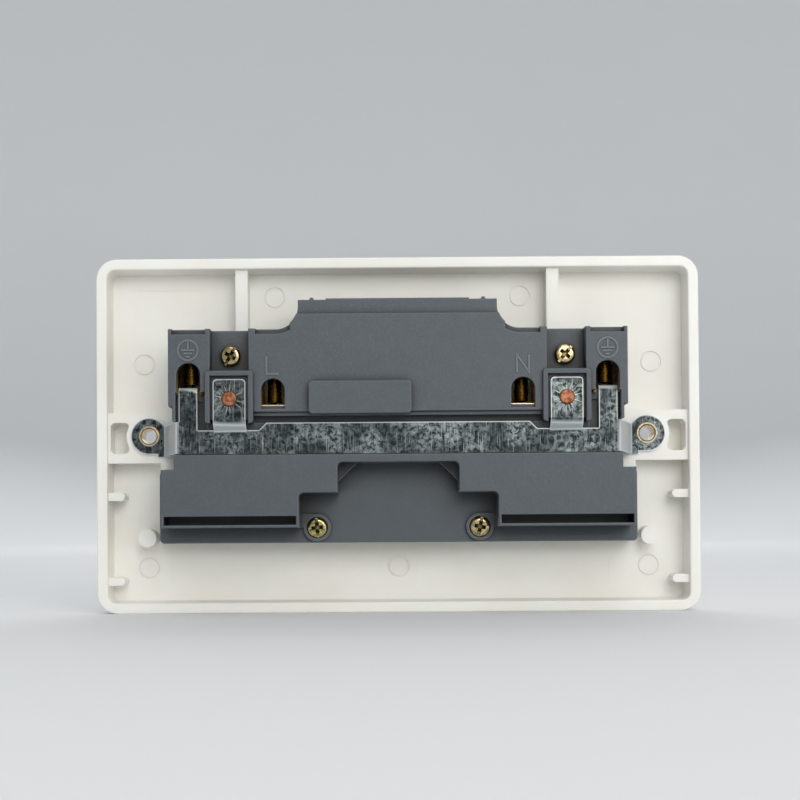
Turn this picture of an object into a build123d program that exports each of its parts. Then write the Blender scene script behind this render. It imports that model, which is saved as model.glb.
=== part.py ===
from build123d import *
import math
import os

# Double wall socket of the British pattern, modelled in millimetres.
# The frame is that of the wall: X to the right as seen from behind, Z up, and the back of the rim
# lies in the plane Y = 0. The room is on the +Y side and the wall box on the -Y side.

# Faceplate
PLATE_WIDTH = 146.0
PLATE_HEIGHT = 86.0
PLATE_DEPTH = 10.0
PLATE_FLOOR = 3.0
RIM_WIDTH = 2.6
PLATE_CORNER = 5.0
TRAY_CORNER = 2.0
TRAY_DRAFT = 2.5
FRONT_ROUND = 2.0
RIM_EDGE = 0.4
FIXING_SPACING = 120.6
SCREW_SEAT_RADIUS = 3.8
SCREW_SEAT_DEPTH = 2.5

# Ribs, platforms and posts that stand on the back of the faceplate
RIB_TOP_Y = 1.2
TOP_RIB_WIDTH = 3.0
TOP_RIB_X = 37.8
TOP_RIB_END_Z = 25.0
EAR_BAR_TOP_Z = 5.7
EAR_BAR_LOW_Z = -6.5
EAR_POCKET_WIDTH = 3.9
EAR_POCKET_HEIGHT = 7.6
EAR_POCKET_CORNER = 1.2
EAR_BOSS_RADIUS = 5.6
EAR_PLATFORM_END_X = 54.2
CORNER_TONGUE_WIDTH = 3.4
CORNER_TONGUE_LOW_Z = -8.4
WALL_RIB_LENGTH = 3.0
WALL_RIB_THICKNESS = 2.0
WALL_RIB_Z = (-14.6, -35.2)
POST_RADIUS = 2.2
POST_X = 61.0
POST_Z = -24.7
EJECTOR_RADIUS = 2.6
EJECTOR_RING = 0.3
EJECTOR_DEPTH = 0.3
EJECTOR_SIDE = (62.45, 18.0)
EJECTOR_TOP = (30.2, 34.4)
EJECTOR_LOW = (61.4, -32.1)
INSERT_DEPTH = 0.1
UPPER_INSERT = (-64.0, -47.4, 29.3, 36.3)
LOWER_INSERT = (20.0, 51.8, -35.3, -29.8)

# Plug pins and the holes for them
SOCKET_PITCH = 78.2
EARTH_Z = 7.5
PIN_DROP = 22.23
PIN_SPREAD = 22.23
EARTH_PIN_WIDTH = 4.0
EARTH_PIN_HEIGHT = 8.0
LINE_PIN_WIDTH = 6.35
LINE_PIN_HEIGHT = 4.0
PIN_CLEARANCE = 0.3

# Rear housing: walls, edges, and how far behind the wall plane its faces lie
WALL = 1.5
TOP_WALL = 2.2
EDGE = 0.3
CLEARANCE = 0.2
STRAP_Y = -13.2
STRAP_THICKNESS = 0.8
MAIN_RISE = 2.0
PAD_RISE = 2.0
STEP_DROP = 1.0
GROOVE_DEPTH = 0.8
LEDGE_DROP = 1.5
TAB_RISE = 2.4
FRAME_RISE = 0.6
TAB_WALL = 0.9
WING_RISE = 0.4
FLANGE_Y = -3.6
FLANGE_WALL = 1.6
POCKET_DROP = 4.2
POCKET_WALL = 2.2
GUSSET_Y = -8.0

# Rear housing: outline of the upper half
UPPER_TOP_Z = 23.9
MAIN_LOW_Z = 4.5
STEP_LOW_Z = 3.6
EARTH_BLOCK_HALF = 4.7
EARTH_FACE_LOW_Z = 9.1
EARTH_CHEEK_LOW_Z = 5.9
EARTH_CHEEK_WIDTH = 1.7
LIP_WIDTH = 0.8
LIP_LOW_Z = 2.6
WAIST_INSET = 2.8
BULGE_HALF = 23.2
BULGE_RADIUS = 5.2
BULGE_EDGE_Z = 27.3
LEDGE_MARGIN = 2.1
CREST_HALF = 16.7
CREST_RISE = 0.3
CREST_NUB_X = 20.0
CREST_NUB_RADIUS = 0.55
FRAME_WIDTH = 11.2
FRAME_BAR = 1.2
FRAME_TOP_Z = 14.05
FRAME_LOW_Z = 1.9
FRAME_CORNER = 0.8
SCREW_POCKET_WIDTH = 8.9
PAD_WIDTH = 23.8
PAD_CENTRE_X = -8.75
PAD_LOW_Z = 3.9
PAD_TOP_Z = 11.5
PAD_CORNER = 0.9

MARK_RISE = 0.2
MARK_STROKE = 0.4
LETTER_Z = 13.3
LETTER_HEIGHT = 4.0
LETTER_WIDTH = 2.8
EARTH_MARK_Z = 18.9
EARTH_MARK_RADIUS = 2.5

# Rear housing: outline of the lower half
LOWER_TOP_Z = -5.25
SHOULDER_Z = -8.7
SHOULDER_X = 52.3
WING_OUTER_REACH = 5.15
WING_INNER_REACH = 4.75
WING_FACE_LOW_Z = -19.7
SLOT_HEIGHT = 1.95
SLOT_DEPTH = 7.5
SLOT_LIP = 0.7
RECESS_HALF = 14.15
RECESS_TOP_Z = -7.15
RECESS_STEP_Z = -14.25
RECESS_CORNER = 1.15
GUSSET_LEG = 4.4
FLANGE_MARGIN = 1.8
FLANGE_LOW_Z = -26.0
FLANGE_CORNER = 1.1

# Screws that hold the housing to the faceplate
CASE_SCREW_HEAD_RADIUS = 2.4
CASE_SCREW_HEAD_HEIGHT = 1.7
CASE_SCREW_RADIUS = 1.45
CASE_SCREW_LENGTH = 9.0
CASE_SCREW_SINK = 0.9
UPPER_SCREW_Z = 17.8
LOWER_SCREW_X = 19.4
LOWER_SCREW_Z = -22.4
SCREW_BOSS_RADIUS = 2.6
SCREW_PAD_RADIUS = 3.3
SCREW_PAD_RISE = 1.0
CROSS_WIDTH = 0.75
CROSS_DEPTH = 0.9

# Earth strap
STRAP_LOW_Z = -5.15
STRAP_SIDE_TOP_Z = 0.4
STRAP_MID_TOP_Z = 2.1
STRAP_MID_HALF = 30.7
STRAP_CHAMFER = 1.7
STRAP_BEND = 0.9
ARM_WIDTH = 4.3
ARM_OFFSET = 0.35
TONGUE_LENGTH = 7.0
TAB_WIDTH = 7.5
TAB_TOP_Z = 12.1
TAB_CORNER = 0.9
TAB_FOOT_Z = 0.3
TAB_SLOPE = 1.6
TAB_BEND = 1.5
JOGGLE_TOP_X = 51.5
JOGGLE_FOOT_X = 56.2
JOGGLE_LOW_Z = -5.0
JOGGLE_TOP_Z = 2.4
EAR_RADIUS = 4.4
EAR_NECK_TOP_Z = 2.7
RIVET_RADIUS = 1.0
RIVET_HEAD_RADIUS = 1.8
RIVET_HEAD_HEIGHT = 0.6
RIVET_TAIL_RADIUS = 1.45
RIVET_TAIL_HEIGHT = 0.45
EYELET_BORE_RADIUS = 1.85
EYELET_DEPTH = 2.0
EYELET_WALL = 0.35
EYELET_FLARE = 0.35
EYELET_ROLL = 0.35

# Terminals
EARTH_TERMINAL_OFFSET = 9.5
LINE_TERMINAL_OFFSET = 10.1
TERMINAL_WIDTH = 6.3
TERMINAL_DEPTH = 8.2
TERMINAL_SIDE = 0.55
TERMINAL_BASE = 0.9
TERMINAL_TOP = 2.2
TERMINAL_HEIGHT = 9.7
LINE_TERMINAL_Z = 5.3
EARTH_TERMINAL_Z = 8.75
ENTRY_WIDTH = 5.4
LINE_ENTRY_HEIGHT = 6.9
EARTH_ENTRY_TOP_Z = 15.95
NOTCH_WIDTH = 7.7
NOTCH_DEPTH = 2.0
NOTCH_HEIGHT = 1.25
LINE_NOTCH_REACH = 4.0
LINE_NOTCH_START = 1.8
TERMINAL_SCREW_RADIUS = 1.75
TERMINAL_SCREW_LENGTH = 9.8
TERMINAL_SCREW_HEAD_RADIUS = 2.6
TERMINAL_SCREW_HEAD_HEIGHT = 2.2
TERMINAL_SCREW_STANDOFF = 0.8
TERMINAL_SCREW_Y = -9.6
DRIVER_HOLE_RADIUS = 2.9
DRIVER_SLOT_WIDTH = 0.9
DRIVER_SLOT_DEPTH = 1.1
THREAD_CLEARANCE = 0.05

# Sheet parts inside
SHEET = 0.8
SPRING_SHEET = 0.6
SHEET_BEND = 0.6
CLIP_FRONT_Y = 0.3
CLIP_MOUTH = 0.9
LINE_CLIP_WIDTH = 5.2
EARTH_CLIP_HEIGHT = 7.0
LINE_CLIP_BASE_Y = -9.2
LIVE_STRIP_Y = -5.6
STRIP_WIDTH = 3.2
LIVE_RISER_X = 17.7
LIVE_RUN_Z = -9.0
NEUTRAL_RUN_Z = -1.0
BUSBAR_HEIGHT = 4.0

# Switches
ROCKER_X = 10.5
ROCKER_Z = 17.5
ROCKER_WIDTH = 13.6
ROCKER_END_RADIUS = 11.1
ROCKER_TILT = 7.0
ROCKER_PROUD = 0.2
ROCKER_WALL = 1.4
ROCKER_GAP = 0.35
ROCKER_SKIRT = 2.2
PIVOT_Y = 5.9
PIVOT_RADIUS = 1.0
PIVOT_LENGTH = 1.6
PIVOT_CLEARANCE = 0.05
PIVOT_LUG_DEPTH = 3.0
PIVOT_LUG_WIDTH = 4.4
PIVOT_LUG_THICKNESS = 1.3
LEG_RADIUS = 2.3
LEG_LENGTH = 5.2
PLUNGER_RADIUS = 1.25
PLUNGER_LENGTH = 4.6
PLUNGER_CLEARANCE = 0.1
PLUNGER_AIR = 0.1
FULCRUM_Y = -2.4
FULCRUM_WIDTH = 4.4
FULCRUM_THICKNESS = 1.2
FULCRUM_AIR = 0.06
CONTACT_PLATE_WIDTH = 5.2
CONTACT_PLATE_LENGTH = 12.4
CONTACT_PLATE_THICKNESS = 0.7
TIP_RADIUS = 1.5
TIP_HEIGHT = 0.7
TIP_OFFSET = 5.0
TIP_AIR = 0.1
PLUNGER_WIRE = 0.3
PLUNGER_SPRING_TURNS = 4

# Shutters
SHUTTER_AIR = 0.15
SHUTTER_THICKNESS = 2.7
SHUTTER_TRAVEL = 5.5
SHUTTER_COVER = 0.5
SHUTTER_STEM_WIDTH = 6.8
SHUTTER_WINDOW_WIDTH = 3.2
SHUTTER_WINDOW_LENGTH = 9.4
SHUTTER_WINDOW_LOW_Z = -10.5
RAIL_THICKNESS = 1.2
RAIL_LIP = 0.8
RAIL_TOP_Z = -3.2
RAIL_LOW_Z = -11.4
SPRING_POST_HEIGHT = 1.3
SPRING_POST_WIDTH = 2.6
SHUTTER_SPRING_RADIUS = 1.05
SHUTTER_WIRE = 0.3
SHUTTER_SPRING_TURNS = 6

# Places that follow from the sizes above
FLOOR_Y = PLATE_DEPTH - PLATE_FLOOR
HALF_WIDTH = PLATE_WIDTH / 2
HALF_HEIGHT = PLATE_HEIGHT / 2
TRAY_HALF_WIDTH = HALF_WIDTH - RIM_WIDTH
TRAY_HALF_HEIGHT = HALF_HEIGHT - RIM_WIDTH
FIXING_X = FIXING_SPACING / 2
SOCKET_X = SOCKET_PITCH / 2
LINE_Z = EARTH_Z - PIN_DROP
INNER_PIN_X = SOCKET_X - PIN_SPREAD / 2
OUTER_PIN_X = SOCKET_X + PIN_SPREAD / 2
EARTH_TERMINAL_X = SOCKET_X + EARTH_TERMINAL_OFFSET
LINE_TERMINAL_X = SOCKET_X - LINE_TERMINAL_OFFSET
ARM_TONGUE_Z = EARTH_TERMINAL_Z + TERMINAL_BASE + STRAP_THICKNESS

CHANNEL_Y = STRAP_Y + STRAP_THICKNESS
MAIN_Y = STRAP_Y - MAIN_RISE
PAD_Y = MAIN_Y - PAD_RISE
STEP_Y = MAIN_Y + STEP_DROP
LEDGE_Y = MAIN_Y + LEDGE_DROP
TAB_Y = STRAP_Y - TAB_RISE
TAB_FLOOR_Y = TAB_Y + STRAP_THICKNESS
FRAME_Y = TAB_Y - FRAME_RISE
WING_Y = STRAP_Y - WING_RISE
POCKET_Y = MAIN_Y + POCKET_DROP
POCKET_BACK_Y = POCKET_Y + POCKET_WALL
FLANGE_BACK_Y = FLANGE_Y + FLANGE_WALL
MAIN_BACK_Y = MAIN_Y + WALL
LEDGE_BACK_Y = LEDGE_Y + WALL
CHANNEL_BACK_Y = CHANNEL_Y + WALL
WING_BACK_Y = WING_Y + WALL
TAB_BACK_Y = TAB_FLOOR_Y + TAB_WALL

BLOCK_OUTER_X = EARTH_TERMINAL_X + EARTH_BLOCK_HALF
BLOCK_INNER_X = SOCKET_X + SCREW_POCKET_WIDTH / 2
CENTRE_HALF = SOCKET_X - SCREW_POCKET_WIDTH / 2
FRAME_LEFT = SOCKET_X - FRAME_WIDTH / 2
FRAME_RIGHT = SOCKET_X + FRAME_WIDTH / 2
WAIST_X = BLOCK_OUTER_X - WAIST_INSET
WING_INNER_X = INNER_PIN_X - WING_INNER_REACH
WING_OUTER_X = OUTER_PIN_X + WING_OUTER_REACH
WING_LOW_Z = WING_FACE_LOW_Z - SLOT_HEIGHT - SLOT_LIP
FLANGE_HALF = WING_OUTER_X + FLANGE_MARGIN
SCREW_PAD_Y = FLANGE_Y - SCREW_PAD_RISE
EYELET_END_Y = RIB_TOP_Y + EYELET_DEPTH
LEDGE_TOP_Z = ROCKER_Z + ROCKER_END_RADIUS + LEDGE_MARGIN


def block(low_x, high_x, low_y, high_y, low_z, high_z):
    """A plain box between two corners."""
    middle = Pos((low_x + high_x) / 2, (low_y + high_y) / 2, (low_z + high_z) / 2)
    return middle * Box(high_x - low_x, high_y - low_y, high_z - low_z)


def window(low_x, high_x, low_z, high_z, corner=0):
    """A rectangle in the X-Z plane, drawn as a flat outline."""
    place = Pos((low_x + high_x) / 2, (low_z + high_z) / 2)
    if corner:
        return place * RectangleRounded(high_x - low_x, high_z - low_z, corner)
    return place * Rectangle(high_x - low_x, high_z - low_z)


def polygon(*points):
    """A flat outline through the given points."""
    return make_face(Polyline(*points, close=True))


def standing(outline, front_y, rear_y):
    """A prism of an X-Z outline, from its front plane back to its rear plane."""
    return extrude(Plane.XZ.offset(-front_y) * outline, front_y - rear_y)


def round_rear(solid, radius=EDGE):
    """Rounds the edges of the rearmost flat face, as a mould's polish does."""
    face = solid.faces().filter_by(Axis.Y).sort_by(Axis.Y)[0]
    return fillet(face.edges(), radius)


def rod(x, z, radius, front_y, rear_y):
    """A round bar along Y."""
    return standing(Pos(x, z) * Circle(radius), front_y, rear_y)


def both_sides(solid):
    """A piece and its mirror image across the middle of the plate."""
    return solid + mirror(solid, about=Plane.YZ)


def bent_strip(points, thickness, bend, plane, width):
    """A strip of sheet bent along a route in the given plane, as wide as asked, centred on that plane."""
    route = FilletPolyline(*points, radius=bend)
    return extrude(plane * trace(route, thickness), width / 2, both=True)


# Faceplate: rim, tray, ribs, holes


def plate_shell():
    """The plate's outer form with rounded front edges and the tray behind it."""
    outer = standing(RectangleRounded(PLATE_WIDTH, PLATE_HEIGHT, PLATE_CORNER), PLATE_DEPTH, 0)
    front = outer.faces().sort_by(Axis.Y)[-1]
    outer = fillet(front.edges(), FRONT_ROUND)
    mouth = RectangleRounded(2 * TRAY_HALF_WIDTH, 2 * TRAY_HALF_HEIGHT, TRAY_CORNER)
    tray = extrude(Plane.XZ * mouth, -FLOOR_Y, taper=TRAY_DRAFT)
    return round_rear(outer - tray, RIM_EDGE)


def ear_platform():
    """Raised bed under one ear of the strap, with its pocket against the rim wall."""
    bed = window(EAR_PLATFORM_END_X, TRAY_HALF_WIDTH + RIM_WIDTH / 2, EAR_BAR_LOW_Z, EAR_BAR_TOP_Z)
    tongue_left = EAR_PLATFORM_END_X
    bed += window(tongue_left, tongue_left + CORNER_TONGUE_WIDTH, CORNER_TONGUE_LOW_Z, EAR_BAR_LOW_Z)
    pocket_middle = (EAR_BAR_TOP_Z + EAR_BAR_LOW_Z) / 2
    pocket = window(
        TRAY_HALF_WIDTH - EAR_POCKET_WIDTH - EAR_POCKET_CORNER,
        TRAY_HALF_WIDTH - EAR_POCKET_CORNER / 2,
        pocket_middle - EAR_POCKET_HEIGHT / 2,
        pocket_middle + EAR_POCKET_HEIGHT / 2,
        EAR_POCKET_CORNER,
    )
    pocket -= Pos(FIXING_X, 0) * Circle(EAR_BOSS_RADIUS)
    return standing(bed - pocket, FLOOR_Y, RIB_TOP_Y)


def wall_ribs():
    """Two short ribs with rounded noses on one side wall of the tray."""
    start = TRAY_HALF_WIDTH + RIM_WIDTH / 2
    nose = TRAY_HALF_WIDTH - WALL_RIB_LENGTH
    ribs = Sketch()
    for z in WALL_RIB_Z:
        ribs += window(nose, start, z - WALL_RIB_THICKNESS / 2, z + WALL_RIB_THICKNESS / 2)
        ribs += Pos(nose, z) * Circle(WALL_RIB_THICKNESS / 2)
    return standing(ribs, FLOOR_Y, RIB_TOP_Y)


def mould_marks():
    """Shallow rings and plain panels that the mould's pins and inserts leave on the tray's floor."""
    places = [(0, EJECTOR_LOW[1])]
    for side in (-1, 1):
        places += [(side * x, z) for x, z in (EJECTOR_SIDE, EJECTOR_TOP, EJECTOR_LOW)]
    ring = Circle(EJECTOR_RADIUS) - Circle(EJECTOR_RADIUS - EJECTOR_RING)
    marks = Sketch() + [Pos(x, z) * ring for x, z in places]
    rings = standing(marks, FLOOR_Y + EJECTOR_DEPTH, FLOOR_Y - EJECTOR_DEPTH)
    inserts = window(*UPPER_INSERT) + window(*LOWER_INSERT)
    return rings + standing(inserts, FLOOR_Y + INSERT_DEPTH, FLOOR_Y - INSERT_DEPTH)


def pin_holes():
    """The three holes for one plug, cut through the plate's floor."""
    holes = Pos(SOCKET_X, EARTH_Z) * Rectangle(
        EARTH_PIN_WIDTH + 2 * PIN_CLEARANCE, EARTH_PIN_HEIGHT + 2 * PIN_CLEARANCE
    )
    line_hole = Rectangle(LINE_PIN_WIDTH + 2 * PIN_CLEARANCE, LINE_PIN_HEIGHT + 2 * PIN_CLEARANCE)
    for x in (INNER_PIN_X, OUTER_PIN_X):
        holes += Pos(x, LINE_Z) * line_hole
    return standing(holes, PLATE_DEPTH + 1, FLOOR_Y - 1)


def screw_bosses():
    """Bosses for one side's two case screws, each with its pilot hole."""
    upper = rod(SOCKET_X, UPPER_SCREW_Z, SCREW_BOSS_RADIUS, FLOOR_Y, POCKET_BACK_Y)
    lower = rod(LOWER_SCREW_X, LOWER_SCREW_Z, SCREW_BOSS_RADIUS, FLOOR_Y, FLANGE_BACK_Y)
    pilot_radius = CASE_SCREW_RADIUS + THREAD_CLEARANCE
    upper -= rod(SOCKET_X, UPPER_SCREW_Z, pilot_radius, FLOOR_Y, POCKET_BACK_Y)
    lower -= rod(LOWER_SCREW_X, LOWER_SCREW_Z, pilot_radius, FLOOR_Y, FLANGE_BACK_Y)
    return upper + lower


def pivot_lugs():
    """Two bearing lugs beside one rocker's opening."""
    opening_half = ROCKER_WIDTH / 2 + ROCKER_GAP
    lugs = Part()
    for side in (-1, 1):
        near = ROCKER_X + side * opening_half
        far = near + side * PIVOT_LUG_THICKNESS
        lugs += block(
            min(near, far),
            max(near, far),
            PIVOT_Y - PIVOT_LUG_DEPTH / 2 - PIVOT_RADIUS / 2,
            FLOOR_Y,
            ROCKER_Z - PIVOT_LUG_WIDTH / 2,
            ROCKER_Z + PIVOT_LUG_WIDTH / 2,
        )
    hole = Plane.YZ * (Pos(PIVOT_Y, ROCKER_Z) * Circle(PIVOT_RADIUS + PIVOT_CLEARANCE))
    return lugs - extrude(hole, PLATE_WIDTH / 2)


def shutter_guide():
    """Rails with lips that hold one shutter against the plate, and the post its spring stands on."""
    lip_y = shutter_rear_y() - SHUTTER_AIR
    rails = Part()
    for side in (-1, 1):
        near = SHUTTER_STEM_WIDTH / 2 + CLEARANCE
        wall = sorted((SOCKET_X + side * near, SOCKET_X + side * (near + RAIL_THICKNESS)))
        lip = sorted((SOCKET_X + side * (near - RAIL_LIP), SOCKET_X + side * (near + RAIL_THICKNESS)))
        rails += block(*wall, lip_y - RAIL_THICKNESS / 2, FLOOR_Y, RAIL_LOW_Z, RAIL_TOP_Z)
        rails += block(*lip, lip_y - RAIL_THICKNESS, lip_y, RAIL_LOW_Z, RAIL_TOP_Z)
    post_low = SHUTTER_WINDOW_LOW_Z + CLEARANCE
    post = block(
        SOCKET_X - SPRING_POST_WIDTH / 2,
        SOCKET_X + SPRING_POST_WIDTH / 2,
        shutter_rear_y(),
        FLOOR_Y,
        post_low,
        post_low + SPRING_POST_HEIGHT,
    )
    return rails + post


def make_faceplate():
    """The white moulding: one piece with everything that stands on its back."""
    plate = plate_shell()
    top_rib = block(
        TOP_RIB_X - TOP_RIB_WIDTH / 2,
        TOP_RIB_X + TOP_RIB_WIDTH / 2,
        RIB_TOP_Y,
        FLOOR_Y,
        TOP_RIB_END_Z,
        TRAY_HALF_HEIGHT + RIM_WIDTH / 2,
    )
    post = rod(POST_X, POST_Z, POST_RADIUS, FLOOR_Y, RIB_TOP_Y)
    plate += both_sides(top_rib + post + ear_platform() + wall_ribs())
    plate += both_sides(screw_bosses() + pivot_lugs() + shutter_guide())
    eyelet_radius = EYELET_BORE_RADIUS + EYELET_WALL
    fixing = rod(FIXING_X, 0, EYELET_BORE_RADIUS, PLATE_DEPTH, RIB_TOP_Y)
    fixing += rod(FIXING_X, 0, eyelet_radius, EYELET_END_Y, RIB_TOP_Y)
    fixing += rod(FIXING_X, 0, SCREW_SEAT_RADIUS, PLATE_DEPTH, PLATE_DEPTH - SCREW_SEAT_DEPTH)
    opening_half = ROCKER_WIDTH / 2 + ROCKER_GAP
    opening_reach = ROCKER_END_RADIUS + ROCKER_GAP
    rocker_opening = block(
        ROCKER_X - opening_half,
        ROCKER_X + opening_half,
        FLOOR_Y - 1,
        PLATE_DEPTH + 1,
        ROCKER_Z - opening_reach,
        ROCKER_Z + opening_reach,
    )
    lugs = pivot_lugs()
    return plate - both_sides(fixing + pin_holes() + (rocker_opening - lugs)) - mould_marks()


# Rear housing: outer form, then the hollows inside


def line_entry(x):
    """The arched hole through which one line wire enters, as an outline."""
    straight = LINE_ENTRY_HEIGHT - ENTRY_WIDTH / 2
    arch = window(x - ENTRY_WIDTH / 2, x + ENTRY_WIDTH / 2, LINE_TERMINAL_Z, LINE_TERMINAL_Z + straight)
    return arch + Pos(x, LINE_TERMINAL_Z + straight) * Circle(ENTRY_WIDTH / 2)


def earth_entry():
    """The arched hole of an earth terminal, open below where the strap's arm goes in."""
    x = EARTH_TERMINAL_X
    spring_line = EARTH_ENTRY_TOP_Z - ENTRY_WIDTH / 2
    arch = window(x - ENTRY_WIDTH / 2, x + ENTRY_WIDTH / 2, EARTH_FACE_LOW_Z - 1, spring_line)
    return arch + Pos(x, spring_line) * Circle(ENTRY_WIDTH / 2)


def bulge_outline(top_z):
    """Outline of the switch bulge above the terminals, with its hollow shoulders, up to a height."""
    outline = window(-CENTRE_HALF, CENTRE_HALF, MAIN_LOW_Z, UPPER_TOP_Z)
    shoulder = BULGE_HALF + BULGE_RADIUS
    hump = window(-shoulder, shoulder, UPPER_TOP_Z, UPPER_TOP_Z + BULGE_RADIUS)
    for side in (-1, 1):
        hump -= Pos(side * shoulder, UPPER_TOP_Z + BULGE_RADIUS) * Circle(BULGE_RADIUS)
    hump += window(-BULGE_HALF, BULGE_HALF, UPPER_TOP_Z, LEDGE_TOP_Z)
    hump &= window(-shoulder, shoulder, UPPER_TOP_Z, top_z)
    return outline + hump


def driver_notches():
    """Slots along the top edge over the terminal screws, on one side."""
    earth = window(
        EARTH_TERMINAL_X - NOTCH_WIDTH / 2,
        EARTH_TERMINAL_X + NOTCH_WIDTH / 2,
        UPPER_TOP_Z - NOTCH_HEIGHT,
        UPPER_TOP_Z + 1,
    )
    shoulder = BULGE_HALF + BULGE_RADIUS
    flat_end = LINE_TERMINAL_X + LINE_NOTCH_REACH
    line = window(shoulder, flat_end, UPPER_TOP_Z - NOTCH_HEIGHT, UPPER_TOP_Z + 1)
    bend = Pos(shoulder, UPPER_TOP_Z + BULGE_RADIUS) * Circle(BULGE_RADIUS + NOTCH_HEIGHT)
    bend_start = BULGE_HALF + LINE_NOTCH_START
    bend &= window(bend_start, shoulder, MAIN_LOW_Z, UPPER_TOP_Z + BULGE_RADIUS)
    return standing(earth + line + bend, MAIN_Y + NOTCH_DEPTH, MAIN_Y)


def upper_blocks():
    """The terminal blocks and the middle block, which carry the main rear face."""
    middle = standing(bulge_outline(BULGE_EDGE_Z), FLOOR_Y, MAIN_Y)
    block_outline = window(BLOCK_INNER_X, BLOCK_OUTER_X, EARTH_FACE_LOW_Z, UPPER_TOP_Z)
    cheek_x = BLOCK_OUTER_X - EARTH_CHEEK_WIDTH
    block_outline += window(cheek_x, BLOCK_OUTER_X, EARTH_CHEEK_LOW_Z, EARTH_FACE_LOW_Z)
    block_outline += window(cheek_x, cheek_x + LIP_WIDTH, LIP_LOW_Z, EARTH_CHEEK_LOW_Z)
    earth = standing(block_outline, FLOOR_Y, MAIN_Y)
    cuts = driver_notches()
    entries = standing(line_entry(LINE_TERMINAL_X) + earth_entry(), MAIN_BACK_Y + WALL, MAIN_Y)
    middle -= both_sides(cuts + entries)
    earth -= cuts + entries
    return round_rear(middle) + both_sides(round_rear(earth))


def bulge_ledge():
    """Lower ledge over the switches, with a slightly taller crest and two nubs."""
    outline = bulge_outline(LEDGE_TOP_Z)
    outline += window(-CREST_HALF, CREST_HALF, UPPER_TOP_Z, LEDGE_TOP_Z + CREST_RISE)
    ledge = round_rear(standing(outline, FLOOR_Y, LEDGE_Y))
    nub = rod(CREST_NUB_X, LEDGE_TOP_Z, CREST_NUB_RADIUS, FLOOR_Y, LEDGE_Y + EDGE)
    return ledge + both_sides(nub) - both_sides(driver_notches())


def tab_frame():
    """Raised frame round one tab of the strap, open below."""
    floor = window(FRAME_LEFT, FRAME_RIGHT, FRAME_LOW_Z, FRAME_TOP_Z, FRAME_CORNER)
    inside = window(
        FRAME_LEFT + FRAME_BAR, FRAME_RIGHT - FRAME_BAR, FRAME_LOW_Z - 1, FRAME_TOP_Z - FRAME_BAR
    )
    bars = round_rear(standing(floor - inside, FLOOR_Y, FRAME_Y))
    seat_low = TAB_FOOT_Z + TAB_SLOPE + TAB_BEND * 0.6
    seat_outline = window(FRAME_LEFT, FRAME_RIGHT, seat_low, FRAME_TOP_Z, FRAME_CORNER)
    seat = standing(seat_outline, FLOOR_Y, TAB_FLOOR_Y)
    hole = rod(SOCKET_X, EARTH_Z, RIVET_RADIUS + CLEARANCE, FLOOR_Y, TAB_FLOOR_Y)
    return bars + seat - hole


def screw_pocket():
    """Sunk floor round one upper case screw, open at the top."""
    floor = window(CENTRE_HALF - WALL, BLOCK_INNER_X + WALL, FRAME_TOP_Z - WALL, UPPER_TOP_Z)
    return standing(floor, FLOOR_Y, POCKET_Y)


def waist():
    """The channel that the strap lies in, with grooves along the strap's upper edges."""
    floor = window(-WAIST_X, WAIST_X, LOWER_TOP_Z - WALL, EARTH_FACE_LOW_Z + WALL)
    cheek_x = BLOCK_OUTER_X - EARTH_CHEEK_WIDTH
    arm_bed = window(FRAME_RIGHT - WALL, cheek_x + LIP_WIDTH, LIP_LOW_Z, EARTH_FACE_LOW_Z + WALL)
    arm_edge = EARTH_TERMINAL_X + ARM_OFFSET - ARM_WIDTH / 2
    groove = window(0, FRAME_LEFT, STRAP_MID_TOP_Z, STEP_LOW_Z)
    groove += window(FRAME_RIGHT, arm_edge, STRAP_SIDE_TOP_Z, EARTH_TERMINAL_Z - WALL)
    channel = standing(floor, FLOOR_Y, CHANNEL_Y) + both_sides(standing(arm_bed, FLOOR_Y, CHANNEL_Y))
    channel -= both_sides(standing(groove, CHANNEL_Y + GROOVE_DEPTH, CHANNEL_Y))
    step_end = FRAME_LEFT + FRAME_BAR / 2
    step = window(-step_end, step_end, STEP_LOW_Z, MAIN_LOW_Z + WALL)
    return channel + round_rear(standing(step, FLOOR_Y, STEP_Y))


def wings():
    """The two lower wings that hold the line contacts, joined by a bar above the recess."""
    outline = window(-WING_OUTER_X, WING_OUTER_X, WING_LOW_Z, SHOULDER_Z)
    outline += window(-SHOULDER_X, SHOULDER_X, SHOULDER_Z, LOWER_TOP_Z)
    recess = window(-RECESS_HALF, RECESS_HALF, FLANGE_LOW_Z, RECESS_TOP_Z, RECESS_CORNER)
    recess += window(-WING_INNER_X, WING_INNER_X, FLANGE_LOW_Z, RECESS_STEP_Z, RECESS_CORNER)
    solid = standing(outline - recess, FLOOR_Y, WING_Y)
    slot = window(
        WING_INNER_X + SLOT_LIP,
        WING_OUTER_X - SLOT_LIP,
        WING_FACE_LOW_Z - SLOT_HEIGHT,
        WING_FACE_LOW_Z,
    )
    solid -= both_sides(standing(slot, WING_Y + SLOT_DEPTH, WING_Y))
    return round_rear(solid)


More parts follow.
